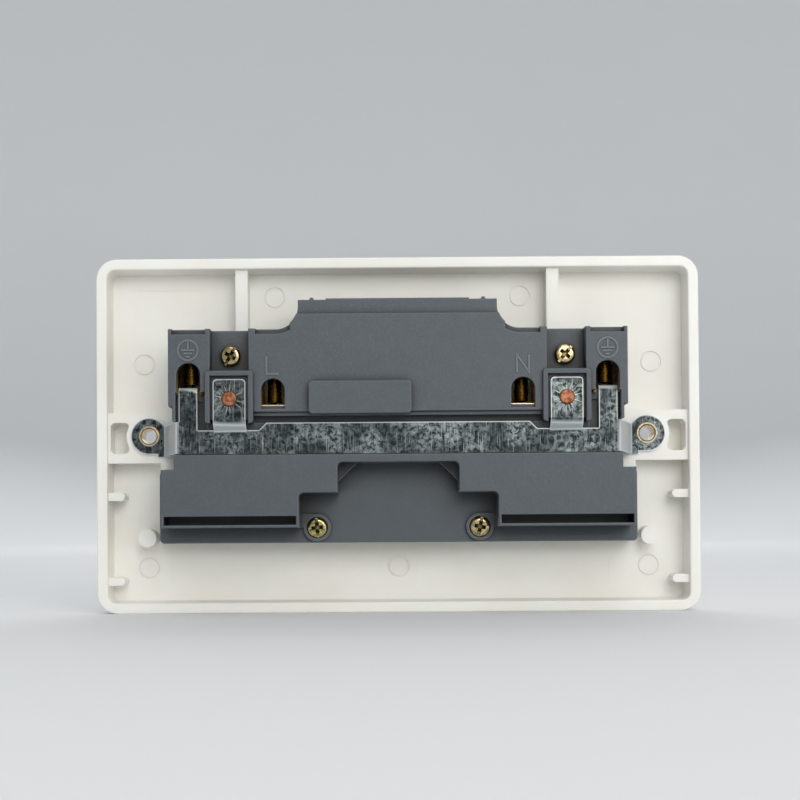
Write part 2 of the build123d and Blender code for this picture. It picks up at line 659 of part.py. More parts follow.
def flange():
    """Low flange and recess floor along the bottom, with gussets and the lower screws' pads."""
    outline = window(-FLANGE_HALF, FLANGE_HALF, FLANGE_LOW_Z, SHOULDER_Z, FLANGE_CORNER)
    outline += window(-WAIST_X, WAIST_X, SHOULDER_Z - WALL, RECESS_TOP_Z + WALL / 2)
    base = round_rear(standing(outline, FLOOR_Y, FLANGE_Y))
    pad = Pos(LOWER_SCREW_X, LOWER_SCREW_Z) * Circle(SCREW_PAD_RADIUS)
    pad += window(
        LOWER_SCREW_X, WING_INNER_X + WALL, WING_LOW_Z, LOWER_SCREW_Z + SCREW_PAD_RADIUS
    )
    gusset = polygon(
        (RECESS_HALF - GUSSET_LEG, RECESS_TOP_Z + WALL),
        (RECESS_HALF + WALL, RECESS_TOP_Z + WALL),
        (RECESS_HALF + WALL, RECESS_TOP_Z - GUSSET_LEG - WALL),
        (RECESS_HALF, RECESS_TOP_Z - GUSSET_LEG),
        (RECESS_HALF - GUSSET_LEG, RECESS_TOP_Z),
    )
    extras = round_rear(standing(pad, FLOOR_Y, SCREW_PAD_Y), EDGE / 2)
    extras += round_rear(standing(gusset, FLOOR_Y, GUSSET_Y), EDGE / 2)
    return base + both_sides(extras)


def terminal_marks():
    """Raised letters by the line terminals and the earth sign over each earth terminal."""
    right = LETTER_WIDTH / 2
    top = LETTER_Z + LETTER_HEIGHT
    live = Polyline((-right, top), (-right, LETTER_Z), (right, LETTER_Z))
    neutral = Polyline((-right, LETTER_Z), (-right, top), (right, LETTER_Z), (right, top))
    marks = Pos(-LINE_TERMINAL_X, 0) * trace(live, MARK_STROKE)
    marks += Pos(LINE_TERMINAL_X, 0) * trace(neutral, MARK_STROKE)
    half = EARTH_MARK_RADIUS
    ring = Circle(half) - Circle(half - MARK_STROKE)
    stem = Line((0, half), (0, 0))
    bar_shares = ((0.6, 0), (0.4, 0.3), (0.2, 0.6))
    bars = [Line((-half * w, -half * z), (half * w, -half * z)) for w, z in bar_shares]
    sign = ring + trace([stem] + bars, MARK_STROKE)
    for side in (-1, 1):
        marks += Pos(side * EARTH_TERMINAL_X, EARTH_MARK_Z) * sign
    return standing(marks, MAIN_Y + MARK_RISE, MAIN_Y - MARK_RISE)


def hollows():
    """The space inside the housing, on the right-hand side and across the middle."""
    top = UPPER_TOP_Z - TOP_WALL
    centre = block(0, CENTRE_HALF - WALL, MAIN_BACK_Y, FLOOR_Y, LINE_TERMINAL_Z, top)
    centre += block(0, BULGE_HALF - WALL, MAIN_BACK_Y, FLOOR_Y, top, BULGE_EDGE_Z - WALL)
    centre += block(0, BULGE_HALF - WALL, LEDGE_BACK_Y, FLOOR_Y, top, LEDGE_TOP_Z - WALL)
    earth = block(
        BLOCK_INNER_X + WALL, BLOCK_OUTER_X - WALL, MAIN_BACK_Y, FLOOR_Y, EARTH_TERMINAL_Z, top
    )
    tab_half = FRAME_WIDTH / 2 - FRAME_BAR - CLEARANCE
    tab = block(
        SOCKET_X - tab_half,
        SOCKET_X + tab_half,
        TAB_BACK_Y,
        FLOOR_Y,
        STEP_LOW_Z,
        FRAME_TOP_Z - FRAME_BAR - CLEARANCE,
    )
    behind_pocket = block(
        CENTRE_HALF - 2 * WALL, BLOCK_INNER_X + 2 * WALL, POCKET_BACK_Y, FLOOR_Y, EARTH_Z, top
    )
    waist_space = block(
        0, WAIST_X - WALL, CHANNEL_BACK_Y, FLOOR_Y, LOWER_TOP_Z + WALL, EARTH_TERMINAL_Z
    )
    passage = block(
        RECESS_HALF + WALL, WAIST_X - WALL, CHANNEL_BACK_Y, FLOOR_Y, SHOULDER_Z, LOWER_TOP_Z + WALL
    )
    wing = block(
        WING_INNER_X + WALL,
        WING_OUTER_X - WALL,
        WING_BACK_Y,
        FLOOR_Y,
        WING_FACE_LOW_Z + WALL,
        SHOULDER_Z - WALL,
    )
    wing += block(
        RECESS_HALF + WALL, SHOULDER_X - WALL, WING_BACK_Y, FLOOR_Y, RECESS_STEP_Z + WALL, RECESS_TOP_Z
    )
    base = block(
        0, FLANGE_HALF - WALL, FLANGE_BACK_Y, FLOOR_Y, FLANGE_LOW_Z + WALL, SHOULDER_Z - WALL
    )
    base += block(
        0, WAIST_X - WALL, FLANGE_BACK_Y, FLOOR_Y, SHOULDER_Z - WALL, LOWER_TOP_Z + WALL
    )
    return centre + earth + tab + behind_pocket + waist_space + passage + wing + base


def contact_seats():
    """Pillars inside the housing that the line clips and the fixed contacts stand on."""
    seats = Part()
    half = STRIP_WIDTH / 2
    for x in (INNER_PIN_X, OUTER_PIN_X):
        seats += block(x - half, x + half, WING_Y + WALL / 2, LINE_CLIP_BASE_Y, LINE_Z - half, LINE_Z + half)
    fixed_z = ROCKER_Z + TIP_OFFSET
    seats += block(
        ROCKER_X - half, ROCKER_X + half, MAIN_Y + WALL / 2, LIVE_STRIP_Y, fixed_z - half, fixed_z + half
    )
    return seats


def make_rear_housing():
    """The grey moulding behind the plate."""
    shell = upper_blocks() + bulge_ledge() + waist() + wings() + flange()
    shell += both_sides(tab_frame() + screw_pocket())
    pad = window(
        PAD_CENTRE_X - PAD_WIDTH / 2, PAD_CENTRE_X + PAD_WIDTH / 2, PAD_LOW_Z, PAD_TOP_Z, PAD_CORNER
    )
    shell += round_rear(standing(pad, MAIN_Y + WALL, PAD_Y)) + terminal_marks()
    shell -= both_sides(hollows())
    shell += both_sides(contact_seats())
    head_radius = CASE_SCREW_HEAD_RADIUS + CLEARANCE
    shank_radius = CASE_SCREW_RADIUS + CLEARANCE
    boss_radius = SCREW_BOSS_RADIUS + CLEARANCE
    holes = rod(SOCKET_X, UPPER_SCREW_Z, shank_radius, FLOOR_Y, POCKET_Y)
    holes += rod(LOWER_SCREW_X, LOWER_SCREW_Z, head_radius, SCREW_PAD_Y + CASE_SCREW_SINK, SCREW_PAD_Y)
    holes += rod(LOWER_SCREW_X, LOWER_SCREW_Z, shank_radius, FLOOR_Y, SCREW_PAD_Y)
    holes += rod(LOWER_SCREW_X, LOWER_SCREW_Z, boss_radius, FLOOR_Y, FLANGE_BACK_Y)
    for x in (EARTH_TERMINAL_X, LINE_TERMINAL_X):
        holes += Pos(x, TERMINAL_SCREW_Y, UPPER_TOP_Z) * Cylinder(DRIVER_HOLE_RADIUS, 4 * WALL)
    return shell - both_sides(holes)


# Earth strap and what fastens it


def strap_side():
    """The ear, joggle, tab and arm at the right-hand end of the strap."""
    mid_y = STRAP_Y + STRAP_THICKNESS / 2
    ear_y = RIB_TOP_Y - STRAP_THICKNESS / 2
    joggle = bent_strip(
        [
            (EARTH_TERMINAL_X, mid_y),
            (JOGGLE_TOP_X, mid_y),
            (JOGGLE_FOOT_X, ear_y),
            (FIXING_X - EYELET_BORE_RADIUS - EYELET_WALL, ear_y),
        ],
        STRAP_THICKNESS,
        STRAP_BEND,
        Plane.XY.offset((JOGGLE_LOW_Z + JOGGLE_TOP_Z) / 2),
        JOGGLE_TOP_Z - JOGGLE_LOW_Z,
    )
    neck = window(JOGGLE_FOOT_X + STRAP_BEND, FIXING_X, -EAR_RADIUS, EAR_NECK_TOP_Z)
    ear = standing(neck + Pos(FIXING_X, 0) * Circle(EAR_RADIUS), RIB_TOP_Y, RIB_TOP_Y - STRAP_THICKNESS)
    ear_hole = rod(FIXING_X, 0, EYELET_BORE_RADIUS + EYELET_WALL, RIB_TOP_Y, RIB_TOP_Y - 2 * STRAP_THICKNESS)
    tab_mid_y = TAB_Y + STRAP_THICKNESS / 2
    tab = bent_strip(
        [
            (mid_y, STRAP_LOW_Z),
            (mid_y, TAB_FOOT_Z),
            (tab_mid_y, TAB_FOOT_Z + TAB_SLOPE),
            (tab_mid_y, TAB_TOP_Z),
        ],
        STRAP_THICKNESS,
        TAB_BEND,
        Plane.YZ.offset(SOCKET_X),
        TAB_WIDTH,
    )
    tab = fillet(tab.edges().filter_by(Axis.Y).group_by(Axis.Z)[-1], TAB_CORNER)
    tab -= rod(SOCKET_X, EARTH_Z, RIVET_RADIUS, FLOOR_Y, TAB_Y - STRAP_THICKNESS)
    tongue_z = ARM_TONGUE_Z - STRAP_THICKNESS / 2
    arm = bent_strip(
        [(mid_y, STRAP_LOW_Z), (mid_y, tongue_z), (mid_y + TONGUE_LENGTH, tongue_z)],
        STRAP_THICKNESS,
        STRAP_BEND,
        Plane.YZ.offset(EARTH_TERMINAL_X + ARM_OFFSET),
        ARM_WIDTH,
    )
    return joggle + ear + tab + arm - ear_hole


def make_earth_strap():
    """One strip of galvanised steel across the back, bent up at the tabs, arms and ears."""
    band = window(-EARTH_TERMINAL_X, EARTH_TERMINAL_X, STRAP_LOW_Z, STRAP_SIDE_TOP_Z)
    shoulder = STRAP_MID_HALF + STRAP_CHAMFER
    band += polygon(
        (-shoulder, STRAP_SIDE_TOP_Z),
        (shoulder, STRAP_SIDE_TOP_Z),
        (STRAP_MID_HALF, STRAP_MID_TOP_Z),
        (-STRAP_MID_HALF, STRAP_MID_TOP_Z),
    )
    return standing(band, CHANNEL_Y, STRAP_Y) + both_sides(strap_side())


def make_fixing_eyelet(side):
    """Brass eyelet that holds an ear to the plate and lines the rear end of the fixing hole."""
    outer = EYELET_BORE_RADIUS + EYELET_WALL
    ear_face = RIB_TOP_Y - STRAP_THICKNESS
    profile = polygon(
        (EYELET_BORE_RADIUS, EYELET_END_Y),
        (outer, EYELET_END_Y),
        (outer, ear_face),
        (outer + EYELET_FLARE, ear_face),
        (outer + EYELET_FLARE, ear_face - EYELET_ROLL / 2),
        (outer, ear_face - EYELET_ROLL),
        (EYELET_BORE_RADIUS, ear_face - EYELET_ROLL / 2),
    )
    return Pos(side * FIXING_X, 0, 0) * revolve(profile, Axis.Y)


def make_earth_rivet(side):
    """Copper rivet through a tab, the housing wall and the earth clip's base."""
    x = side * SOCKET_X
    clip_back = TAB_BACK_Y + SPRING_SHEET
    shank = rod(x, EARTH_Z, RIVET_RADIUS, clip_back, TAB_Y)
    head = rod(x, EARTH_Z, RIVET_HEAD_RADIUS, TAB_Y, TAB_Y - RIVET_HEAD_HEIGHT)
    rim = head.faces().sort_by(Axis.Y)[0].edges()
    head = fillet(rim, RIVET_HEAD_HEIGHT * 0.7)
    tail = rod(x, EARTH_Z, RIVET_TAIL_RADIUS, clip_back + RIVET_TAIL_HEIGHT, clip_back)
    return shank + head + tail


# Terminals and their screws


def make_terminal(x, base_z):
    """Box clamp of bent brass: the wire goes in from behind and the screw comes down through the top."""
    rear_y = MAIN_BACK_Y
    front_y = rear_y + TERMINAL_DEPTH
    half = TERMINAL_WIDTH / 2
    box = block(x - half, x + half, rear_y, front_y, base_z, base_z + TERMINAL_HEIGHT)
    box -= block(
        x - half + TERMINAL_SIDE,
        x + half - TERMINAL_SIDE,
        rear_y - 1,
        front_y + 1,
        base_z + TERMINAL_BASE,
        base_z + TERMINAL_HEIGHT - TERMINAL_TOP,
    )
    bore = Pos(x, TERMINAL_SCREW_Y, base_z + TERMINAL_HEIGHT) * Cylinder(
        TERMINAL_SCREW_RADIUS + THREAD_CLEARANCE, 3 * TERMINAL_TOP
    )
    return box - bore


def make_earth_terminal(side):
    """Box clamp over the strap's tongue, with its base cut back where the arm comes up."""
    x = side * EARTH_TERMINAL_X
    arm_way = block(
        x - TERMINAL_WIDTH / 2 + TERMINAL_SIDE,
        x + TERMINAL_WIDTH / 2 - TERMINAL_SIDE,
        MAIN_BACK_Y - 1,
        CHANNEL_Y + STRAP_BEND,
        EARTH_TERMINAL_Z - 1,
        ARM_TONGUE_Z,
    )
    return make_terminal(x, EARTH_TERMINAL_Z) - arm_way


def make_terminal_screw(x, seat_z):
    """Brass clamp screw standing over its seat, with a driver slot across the head."""
    tip_z = seat_z + TERMINAL_SCREW_STANDOFF
    upright = (Align.CENTER, Align.CENTER, Align.MIN)
    shank = Pos(x, TERMINAL_SCREW_Y, tip_z) * Cylinder(
        TERMINAL_SCREW_RADIUS, TERMINAL_SCREW_LENGTH, align=upright
    )
    head_z = tip_z + TERMINAL_SCREW_LENGTH
    head = Pos(x, TERMINAL_SCREW_Y, head_z) * Cylinder(
        TERMINAL_SCREW_HEAD_RADIUS, TERMINAL_SCREW_HEAD_HEIGHT, align=upright
    )
    top_z = head_z + TERMINAL_SCREW_HEAD_HEIGHT
    slot = block(
        x - TERMINAL_SCREW_HEAD_RADIUS - 1,
        x + TERMINAL_SCREW_HEAD_RADIUS + 1,
        TERMINAL_SCREW_Y - DRIVER_SLOT_WIDTH / 2,
        TERMINAL_SCREW_Y + DRIVER_SLOT_WIDTH / 2,
        top_z - DRIVER_SLOT_DEPTH,
        top_z + 1,
    )
    return shank + head - slot


def make_case_screw(x, z, seat_y):
    """Pan-head screw with a cross recess, driven from behind into the plate's boss."""
    top_y = seat_y - CASE_SCREW_HEAD_HEIGHT
    head = rod(x, z, CASE_SCREW_HEAD_RADIUS, seat_y, top_y)
    rim = head.faces().sort_by(Axis.Y)[0].edges()
    head = fillet(rim, CASE_SCREW_HEAD_HEIGHT / 2)
    arm = CASE_SCREW_HEAD_RADIUS * 0.7
    cross = Pos(x, z) * (Rectangle(2 * arm, CROSS_WIDTH) + Rectangle(CROSS_WIDTH, 2 * arm))
    shank = rod(x, z, CASE_SCREW_RADIUS, seat_y + CASE_SCREW_LENGTH, seat_y)
    return head + shank - standing(cross, top_y + CROSS_DEPTH, top_y - 1)


# Contacts and busbars inside


def line_clip(x):
    """Spring clip that grips one line pin from above and below."""
    reach = LINE_PIN_HEIGHT / 2
    base_y = LINE_CLIP_BASE_Y + SPRING_SHEET / 2
    half_route = [
        (CLIP_FRONT_Y, LINE_Z + reach + CLIP_MOUTH),
        (CLIP_FRONT_Y - 2 * CLIP_MOUTH, LINE_Z + reach),
        (base_y, LINE_Z + reach),
    ]
    mirrored = [(y, 2 * LINE_Z - z) for y, z in reversed(half_route)]
    return bent_strip(
        half_route + mirrored, SPRING_SHEET, SHEET_BEND, Plane.YZ.offset(x), LINE_CLIP_WIDTH
    )


def make_earth_contact(side):
    """Spring clip that grips an earth pin from both sides, held by its rivet."""
    reach = EARTH_PIN_WIDTH / 2
    x = side * SOCKET_X
    base_y = TAB_BACK_Y + SPRING_SHEET / 2
    half_route = [
        (x - reach - CLIP_MOUTH, CLIP_FRONT_Y),
        (x - reach, CLIP_FRONT_Y - 2 * CLIP_MOUTH),
        (x - reach, base_y),
    ]
    mirrored = [(2 * x - along, y) for along, y in reversed(half_route)]
    clip = bent_strip(
        half_route + mirrored, SPRING_SHEET, SHEET_BEND, Plane.XY.offset(EARTH_Z), EARTH_CLIP_HEIGHT
    )
    return clip - rod(x, EARTH_Z, RIVET_RADIUS, FLOOR_Y, TAB_BACK_Y - 1)


def make_live_contact(side):
    """Strip from one switch's fixed contact to the live clip of the socket on that side."""
    low_y = LIVE_STRIP_Y
    high_y = LIVE_STRIP_Y + SHEET
    half = STRIP_WIDTH / 2
    riser_x = side * LIVE_RISER_X
    clip_x = side * SOCKET_X - PIN_SPREAD / 2
    inward = math.copysign(LINE_CLIP_WIDTH / 2, riser_x - clip_x)
    pad_z = ROCKER_Z + TIP_OFFSET
    pad_ends = sorted((side * (ROCKER_X - half), riser_x + side * half))
    strip = block(*pad_ends, low_y, high_y, pad_z - half, pad_z + half)
    strip += block(riser_x - half, riser_x + half, low_y, high_y, LIVE_RUN_Z - half, pad_z + half)
    strip += block(*sorted((riser_x, clip_x)), low_y, high_y, LIVE_RUN_Z - half, LIVE_RUN_Z + half)
    arm_z = LINE_Z + LINE_PIN_HEIGHT / 2
    strip += block(*sorted((clip_x, clip_x + inward)), low_y, high_y, arm_z, LIVE_RUN_Z)
    return strip + line_clip(clip_x)


def make_live_busbar():
    """Strip along the back wall from the live terminal to a fulcrum under each contact plate."""
    low_z = LINE_TERMINAL_Z + TERMINAL_HEIGHT
    left = -LINE_TERMINAL_X - TERMINAL_WIDTH / 2
    right = ROCKER_X + FULCRUM_WIDTH / 2
    bar = block(left, right, MAIN_BACK_Y, MAIN_BACK_Y + SHEET, low_z, low_z + BUSBAR_HEIGHT)
    half = FULCRUM_THICKNESS / 2
    tip_y = FULCRUM_Y - FULCRUM_AIR
    blade = polygon(
        (MAIN_BACK_Y, ROCKER_Z - half),
        (tip_y - half, ROCKER_Z - half),
        (tip_y, ROCKER_Z),
        (tip_y - half, ROCKER_Z + half),
        (MAIN_BACK_Y, ROCKER_Z + half),
    )
    for side in (-1, 1):
        bar += extrude(Plane.YZ.offset(side * ROCKER_X) * blade, FULCRUM_WIDTH / 2, both=True)
    return bar


def make_neutral_busbar():
    """Strip across the waist from the neutral terminal to the neutral clips of both sockets."""
    low_y = CHANNEL_BACK_Y
    high_y = low_y + SHEET
    half = STRIP_WIDTH / 2
    left_clip = -SOCKET_X + PIN_SPREAD / 2
    right_clip = SOCKET_X + PIN_SPREAD / 2
    arm_z = LINE_Z + LINE_PIN_HEIGHT / 2
    bar = block(
        left_clip - half, LINE_TERMINAL_X + half, low_y, high_y, NEUTRAL_RUN_Z - half, NEUTRAL_RUN_Z + half
    )
    bar += block(
        LINE_TERMINAL_X - half, LINE_TERMINAL_X + half, low_y, high_y, LIVE_RUN_Z - half, LINE_TERMINAL_Z
    )
    bar += block(
        LINE_TERMINAL_X, right_clip, low_y, high_y, LIVE_RUN_Z - half, LIVE_RUN_Z + half
    )
    foot_y = LINE_CLIP_BASE_Y + 2 * SHEET_BEND
    for x, inner_x, top_z in (
        (left_clip, left_clip + LINE_CLIP_WIDTH / 2, NEUTRAL_RUN_Z),
        (right_clip, right_clip - LINE_CLIP_WIDTH / 2, LIVE_RUN_Z),
    ):
        ends = sorted((x, inner_x))
        bar += block(*ends, low_y, high_y, arm_z, top_z)
        bar += block(*ends, low_y, foot_y, arm_z, arm_z + SPRING_SHEET)
        bar += line_clip(x)
    return bar


# Switches


def tipped(solid, angle, pivot_y):
    """Turns a switch piece about the X axis through its pivot."""
    pivot = Pos(0, pivot_y, ROCKER_Z)
    return pivot * Rot(angle, 0, 0) * pivot.inverse() * solid


def make_rocker(side):
    """Switch rocker with trunnions and a hollow leg for the plunger, tipped to off."""
    x = side * ROCKER_X
    middle_y = PLATE_DEPTH + ROCKER_PROUD
    end_rise = ROCKER_END_RADIUS * math.tan(math.radians(ROCKER_TILT))
    reach = 2 * ROCKER_END_RADIUS
    rise = 2 * end_rise
    profile = polygon(
        (PIVOT_Y - ROCKER_SKIRT, ROCKER_Z - reach),
        (middle_y + rise, ROCKER_Z - reach),
        (middle_y, ROCKER_Z),
        (middle_y + rise, ROCKER_Z + reach),
        (PIVOT_Y - ROCKER_SKIRT, ROCKER_Z + reach),
    )
    profile &= Pos(PIVOT_Y, ROCKER_Z) * Circle(ROCKER_END_RADIUS)
    body = extrude(Plane.YZ.offset(x) * profile, ROCKER_WIDTH / 2, both=True)
    inner_reach = ROCKER_END_RADIUS - 2 * ROCKER_WALL
    body -= block(
        x - ROCKER_WIDTH / 2 + ROCKER_WALL,
        x + ROCKER_WIDTH / 2 - ROCKER_WALL,
        PIVOT_Y - ROCKER_SKIRT - 1,
        middle_y - ROCKER_WALL,
        ROCKER_Z - inner_reach,
        ROCKER_Z + inner_reach,
    )
    pins = Plane.YZ.offset(x) * (Pos(PIVOT_Y, ROCKER_Z) * Circle(PIVOT_RADIUS))
    body += extrude(pins, ROCKER_WIDTH / 2 + PIVOT_LENGTH, both=True)
    leg_end = PIVOT_Y - LEG_LENGTH
    body += rod(x, ROCKER_Z, LEG_RADIUS, middle_y - ROCKER_WALL / 2, leg_end)
    body -= rod(x, ROCKER_Z, PLUNGER_RADIUS + PLUNGER_CLEARANCE, spring_seat_y(), leg_end)
    return tipped(body, ROCKER_TILT, PIVOT_Y)


def spring_seat_y():
    """Bottom of the bore in a rocker's leg, where the plunger's spring bears."""
    return PIVOT_Y + PIVOT_RADIUS


def plunger_tip_y():
    """Where a plunger's nose stands when its rocker is level."""
    return FULCRUM_Y + CONTACT_PLATE_THICKNESS + PLUNGER_AIR


def make_plunger(side):
    """Round-nosed pin in the rocker's leg that tips the contact plate."""
    tip_y = plunger_tip_y()
    pin = rod(side * ROCKER_X, ROCKER_Z, PLUNGER_RADIUS, tip_y + PLUNGER_LENGTH, tip_y)
    nose = pin.faces().sort_by(Axis.Y)[0].edges()
    pin = fillet(nose, PLUNGER_RADIUS * 0.8)
    return tipped(pin, ROCKER_TILT, PIVOT_Y)


def coil_spring(radius, wire, turns, length):
    """Coil spring standing on the origin along Z, with its wire's middle at half a wire from each end."""
    rise = length - wire
    helix = Helix(rise / turns, rise, radius)
    section = Plane(helix @ 0, z_dir=helix % 0) * Circle(wire / 2)
    return Pos(0, 0, wire / 2) * sweep(section, path=helix)


def make_plunger_spring(side):
    """Spring between the bottom of the leg's bore and the plunger."""
    low_y = plunger_tip_y() + PLUNGER_LENGTH
    length = spring_seat_y() - low_y
    radius = PLUNGER_RADIUS - PLUNGER_WIRE / 2
    spring = Pos(side * ROCKER_X, low_y, ROCKER_Z) * Rot(-90, 0, 0) * coil_spring(
        radius, PLUNGER_WIRE, PLUNGER_SPRING_TURNS, length
    )
    return tipped(spring, ROCKER_TILT, PIVOT_Y)


def make_moving_contact(side):
    """Contact plate that tips over its fulcrum, with a contact tip riveted under its upper end."""
    x = side * ROCKER_X
    half_length = CONTACT_PLATE_LENGTH / 2
    plate = block(
        x - CONTACT_PLATE_WIDTH / 2,
        x + CONTACT_PLATE_WIDTH / 2,
        FULCRUM_Y,
        FULCRUM_Y + CONTACT_PLATE_THICKNESS,
        ROCKER_Z - half_length,
        ROCKER_Z + half_length,
    )
    plate += rod(x, ROCKER_Z + TIP_OFFSET, TIP_RADIUS, FULCRUM_Y, FULCRUM_Y - TIP_HEIGHT)
    return tipped(plate, -ROCKER_TILT, FULCRUM_Y)


def make_fixed_tip(side):
    """Contact tip on the live contact's pad, met by the moving tip when the switch is on."""
    tilt = math.radians(ROCKER_TILT)
    met_y = FULCRUM_Y - TIP_HEIGHT * math.cos(tilt) - (TIP_OFFSET + TIP_RADIUS) * math.sin(tilt) - TIP_AIR
    pad_y = LIVE_STRIP_Y + SHEET
    return rod(side * ROCKER_X, ROCKER_Z + TIP_OFFSET, TIP_RADIUS, met_y, pad_y)


# Shutters


def shutter_front_y():
    """Front face of a shutter, just behind the plate's floor."""
    return FLOOR_Y - SHUTTER_AIR


def shutter_rear_y():
    """Rear face of a shutter's flat body."""
    return shutter_front_y() - SHUTTER_THICKNESS


def make_shutter(side):
    """Sliding shutter: a bar over the line holes, and a ramp that the earth pin pushes down."""
    x = side * SOCKET_X
    front_y = shutter_front_y()
    rear_y = shutter_rear_y()
    half_pin = LINE_PIN_HEIGHT / 2 + PIN_CLEARANCE
    bar_reach = PIN_SPREAD / 2 + LINE_PIN_WIDTH / 2 + PIN_CLEARANCE + SHUTTER_COVER
    bar_top = LINE_Z + half_pin + SHUTTER_COVER / 2
    body = block(x - bar_reach, x + bar_reach, rear_y, front_y, LINE_Z - half_pin - SHUTTER_COVER, bar_top)
    half_stem = SHUTTER_STEM_WIDTH / 2
    ramp_low = EARTH_Z - EARTH_PIN_HEIGHT / 2
    body += block(x - half_stem, x + half_stem, rear_y, front_y, bar_top, ramp_low)
    ramp = polygon(
        (front_y, ramp_low),
        (front_y - SHUTTER_TRAVEL, ramp_low + SHUTTER_TRAVEL),
        (front_y - SHUTTER_TRAVEL, ramp_low),
    )
    body += extrude(Plane.YZ.offset(x) * ramp, half_stem, both=True)
    gap = block(
        x - SHUTTER_WINDOW_WIDTH / 2,
        x + SHUTTER_WINDOW_WIDTH / 2,
        rear_y - 1,
        front_y + 1,
        SHUTTER_WINDOW_LOW_Z,
        SHUTTER_WINDOW_LOW_Z + SHUTTER_WINDOW_LENGTH,
    )
    return body - gap


def make_shutter_spring(side):
    """Spring between the plate's post and the top of the shutter's window."""
    low_z = SHUTTER_WINDOW_LOW_Z + CLEARANCE + SPRING_POST_HEIGHT
    high_z = SHUTTER_WINDOW_LOW_Z + SHUTTER_WINDOW_LENGTH
    middle_y = shutter_front_y() - SHUTTER_THICKNESS / 2
    return Pos(side * SOCKET_X, middle_y, low_z) * coil_spring(
        SHUTTER_SPRING_RADIUS, SHUTTER_WIRE, SHUTTER_SPRING_TURNS, high_z - low_z
    )


# Every node with its solids, then one file for each


def all_nodes():
    """Each node's name with its solid, or a group of solids for like fasteners."""
    sides = {"left": -1, "right": 1}
    lower_seat = SCREW_PAD_Y + CASE_SCREW_SINK
    line_seat = LINE_TERMINAL_Z + TERMINAL_BASE
    nodes = {
        "faceplate": [make_faceplate()],
        "rear_housing": [make_rear_housing()],
        "earth_strap": [make_earth_strap()],
        "fixing_eyelets": [make_fixing_eyelet(side) for side in sides.values()],
        "earth_rivets": [make_earth_rivet(side) for side in sides.values()],
        "live_terminal": [make_terminal(-LINE_TERMINAL_X, LINE_TERMINAL_Z)],
        "neutral_terminal": [make_terminal(LINE_TERMINAL_X, LINE_TERMINAL_Z)],
        "live_busbar": [make_live_busbar()],
        "neutral_busbar": [make_neutral_busbar()],
        "fixed_contact_tips": [make_fixed_tip(side) for side in sides.values()],
        "terminal_screws": [],
        "case_screws": [],
    }
    for name, side in sides.items():
        nodes["terminal_screws"] += [
            make_terminal_screw(side * EARTH_TERMINAL_X, ARM_TONGUE_Z),
            make_terminal_screw(side * LINE_TERMINAL_X, line_seat),
        ]
        nodes["case_screws"] += [
            make_case_screw(side * SOCKET_X, UPPER_SCREW_Z, POCKET_Y),
            make_case_screw(side * LOWER_SCREW_X, LOWER_SCREW_Z, lower_seat),
        ]
        nodes["earth_terminal_" + name] = [make_earth_terminal(side)]
        nodes["earth_contact_" + name] = [make_earth_contact(side)]
        nodes["live_contact_" + name] = [make_live_contact(side)]
        nodes["moving_contact_" + name] = [make_moving_contact(side)]
        nodes["rocker_" + name] = [make_rocker(side)]
        nodes["plunger_" + name] = [make_plunger(side)]
        nodes["plunger_spring_" + name] = [make_plunger_spring(side)]
        nodes["shutter_" + name] = [make_shutter(side)]
        nodes["shutter_spring_" + name] = [make_shutter_spring(side)]
    return nodes


os.makedirs("parts", exist_ok=True)
for node, pieces in all_nodes().items():
    solids = [solid for piece in pieces for solid in piece.solids()]
    shape = solids[0] if len(solids) == 1 else Compound(solids)
    export_step(shape, f"parts/{node}.step")
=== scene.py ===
import math

import bpy
from mathutils import Euler, Matrix, Vector


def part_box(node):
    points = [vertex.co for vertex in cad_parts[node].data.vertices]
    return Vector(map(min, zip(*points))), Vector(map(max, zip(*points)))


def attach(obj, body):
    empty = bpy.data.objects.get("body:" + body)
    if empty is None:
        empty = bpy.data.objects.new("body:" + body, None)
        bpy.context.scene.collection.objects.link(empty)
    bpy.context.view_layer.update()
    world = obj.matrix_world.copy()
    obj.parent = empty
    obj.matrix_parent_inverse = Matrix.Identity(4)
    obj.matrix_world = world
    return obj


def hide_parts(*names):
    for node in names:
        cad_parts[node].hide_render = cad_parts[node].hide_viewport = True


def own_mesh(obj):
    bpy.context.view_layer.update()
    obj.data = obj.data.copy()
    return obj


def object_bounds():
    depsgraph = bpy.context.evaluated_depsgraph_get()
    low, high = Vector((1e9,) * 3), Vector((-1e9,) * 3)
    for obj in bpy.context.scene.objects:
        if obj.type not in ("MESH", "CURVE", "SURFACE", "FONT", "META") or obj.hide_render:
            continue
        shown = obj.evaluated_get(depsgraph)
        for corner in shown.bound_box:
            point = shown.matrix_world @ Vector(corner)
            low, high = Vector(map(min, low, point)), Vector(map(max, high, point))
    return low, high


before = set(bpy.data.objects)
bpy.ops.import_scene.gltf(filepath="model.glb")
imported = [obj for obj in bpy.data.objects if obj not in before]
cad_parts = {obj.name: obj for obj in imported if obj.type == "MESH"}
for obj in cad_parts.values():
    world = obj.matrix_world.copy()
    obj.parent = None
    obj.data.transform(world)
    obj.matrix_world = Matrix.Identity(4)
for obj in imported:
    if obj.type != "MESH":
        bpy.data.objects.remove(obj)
cad_box = [list(corner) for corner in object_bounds()]
bpy.ops.object.select_all(action="DESELECT")


# Faceplate
# One compression moulding in white urea plastic, 146 by 86 mm, open behind like a shallow tray.
# A polished mould left the room side glossy, and the tray side has a softer, faintly clouded skin.

PER_MM = 1000.0  # Object coordinates are in metres, so a pattern n mm wide has the scale PER_MM / n
FACTOR = 0  # a colour Mix node's sockets go by number, because several share a name
FIRST = 6
SECOND = 7
RESULT = 2


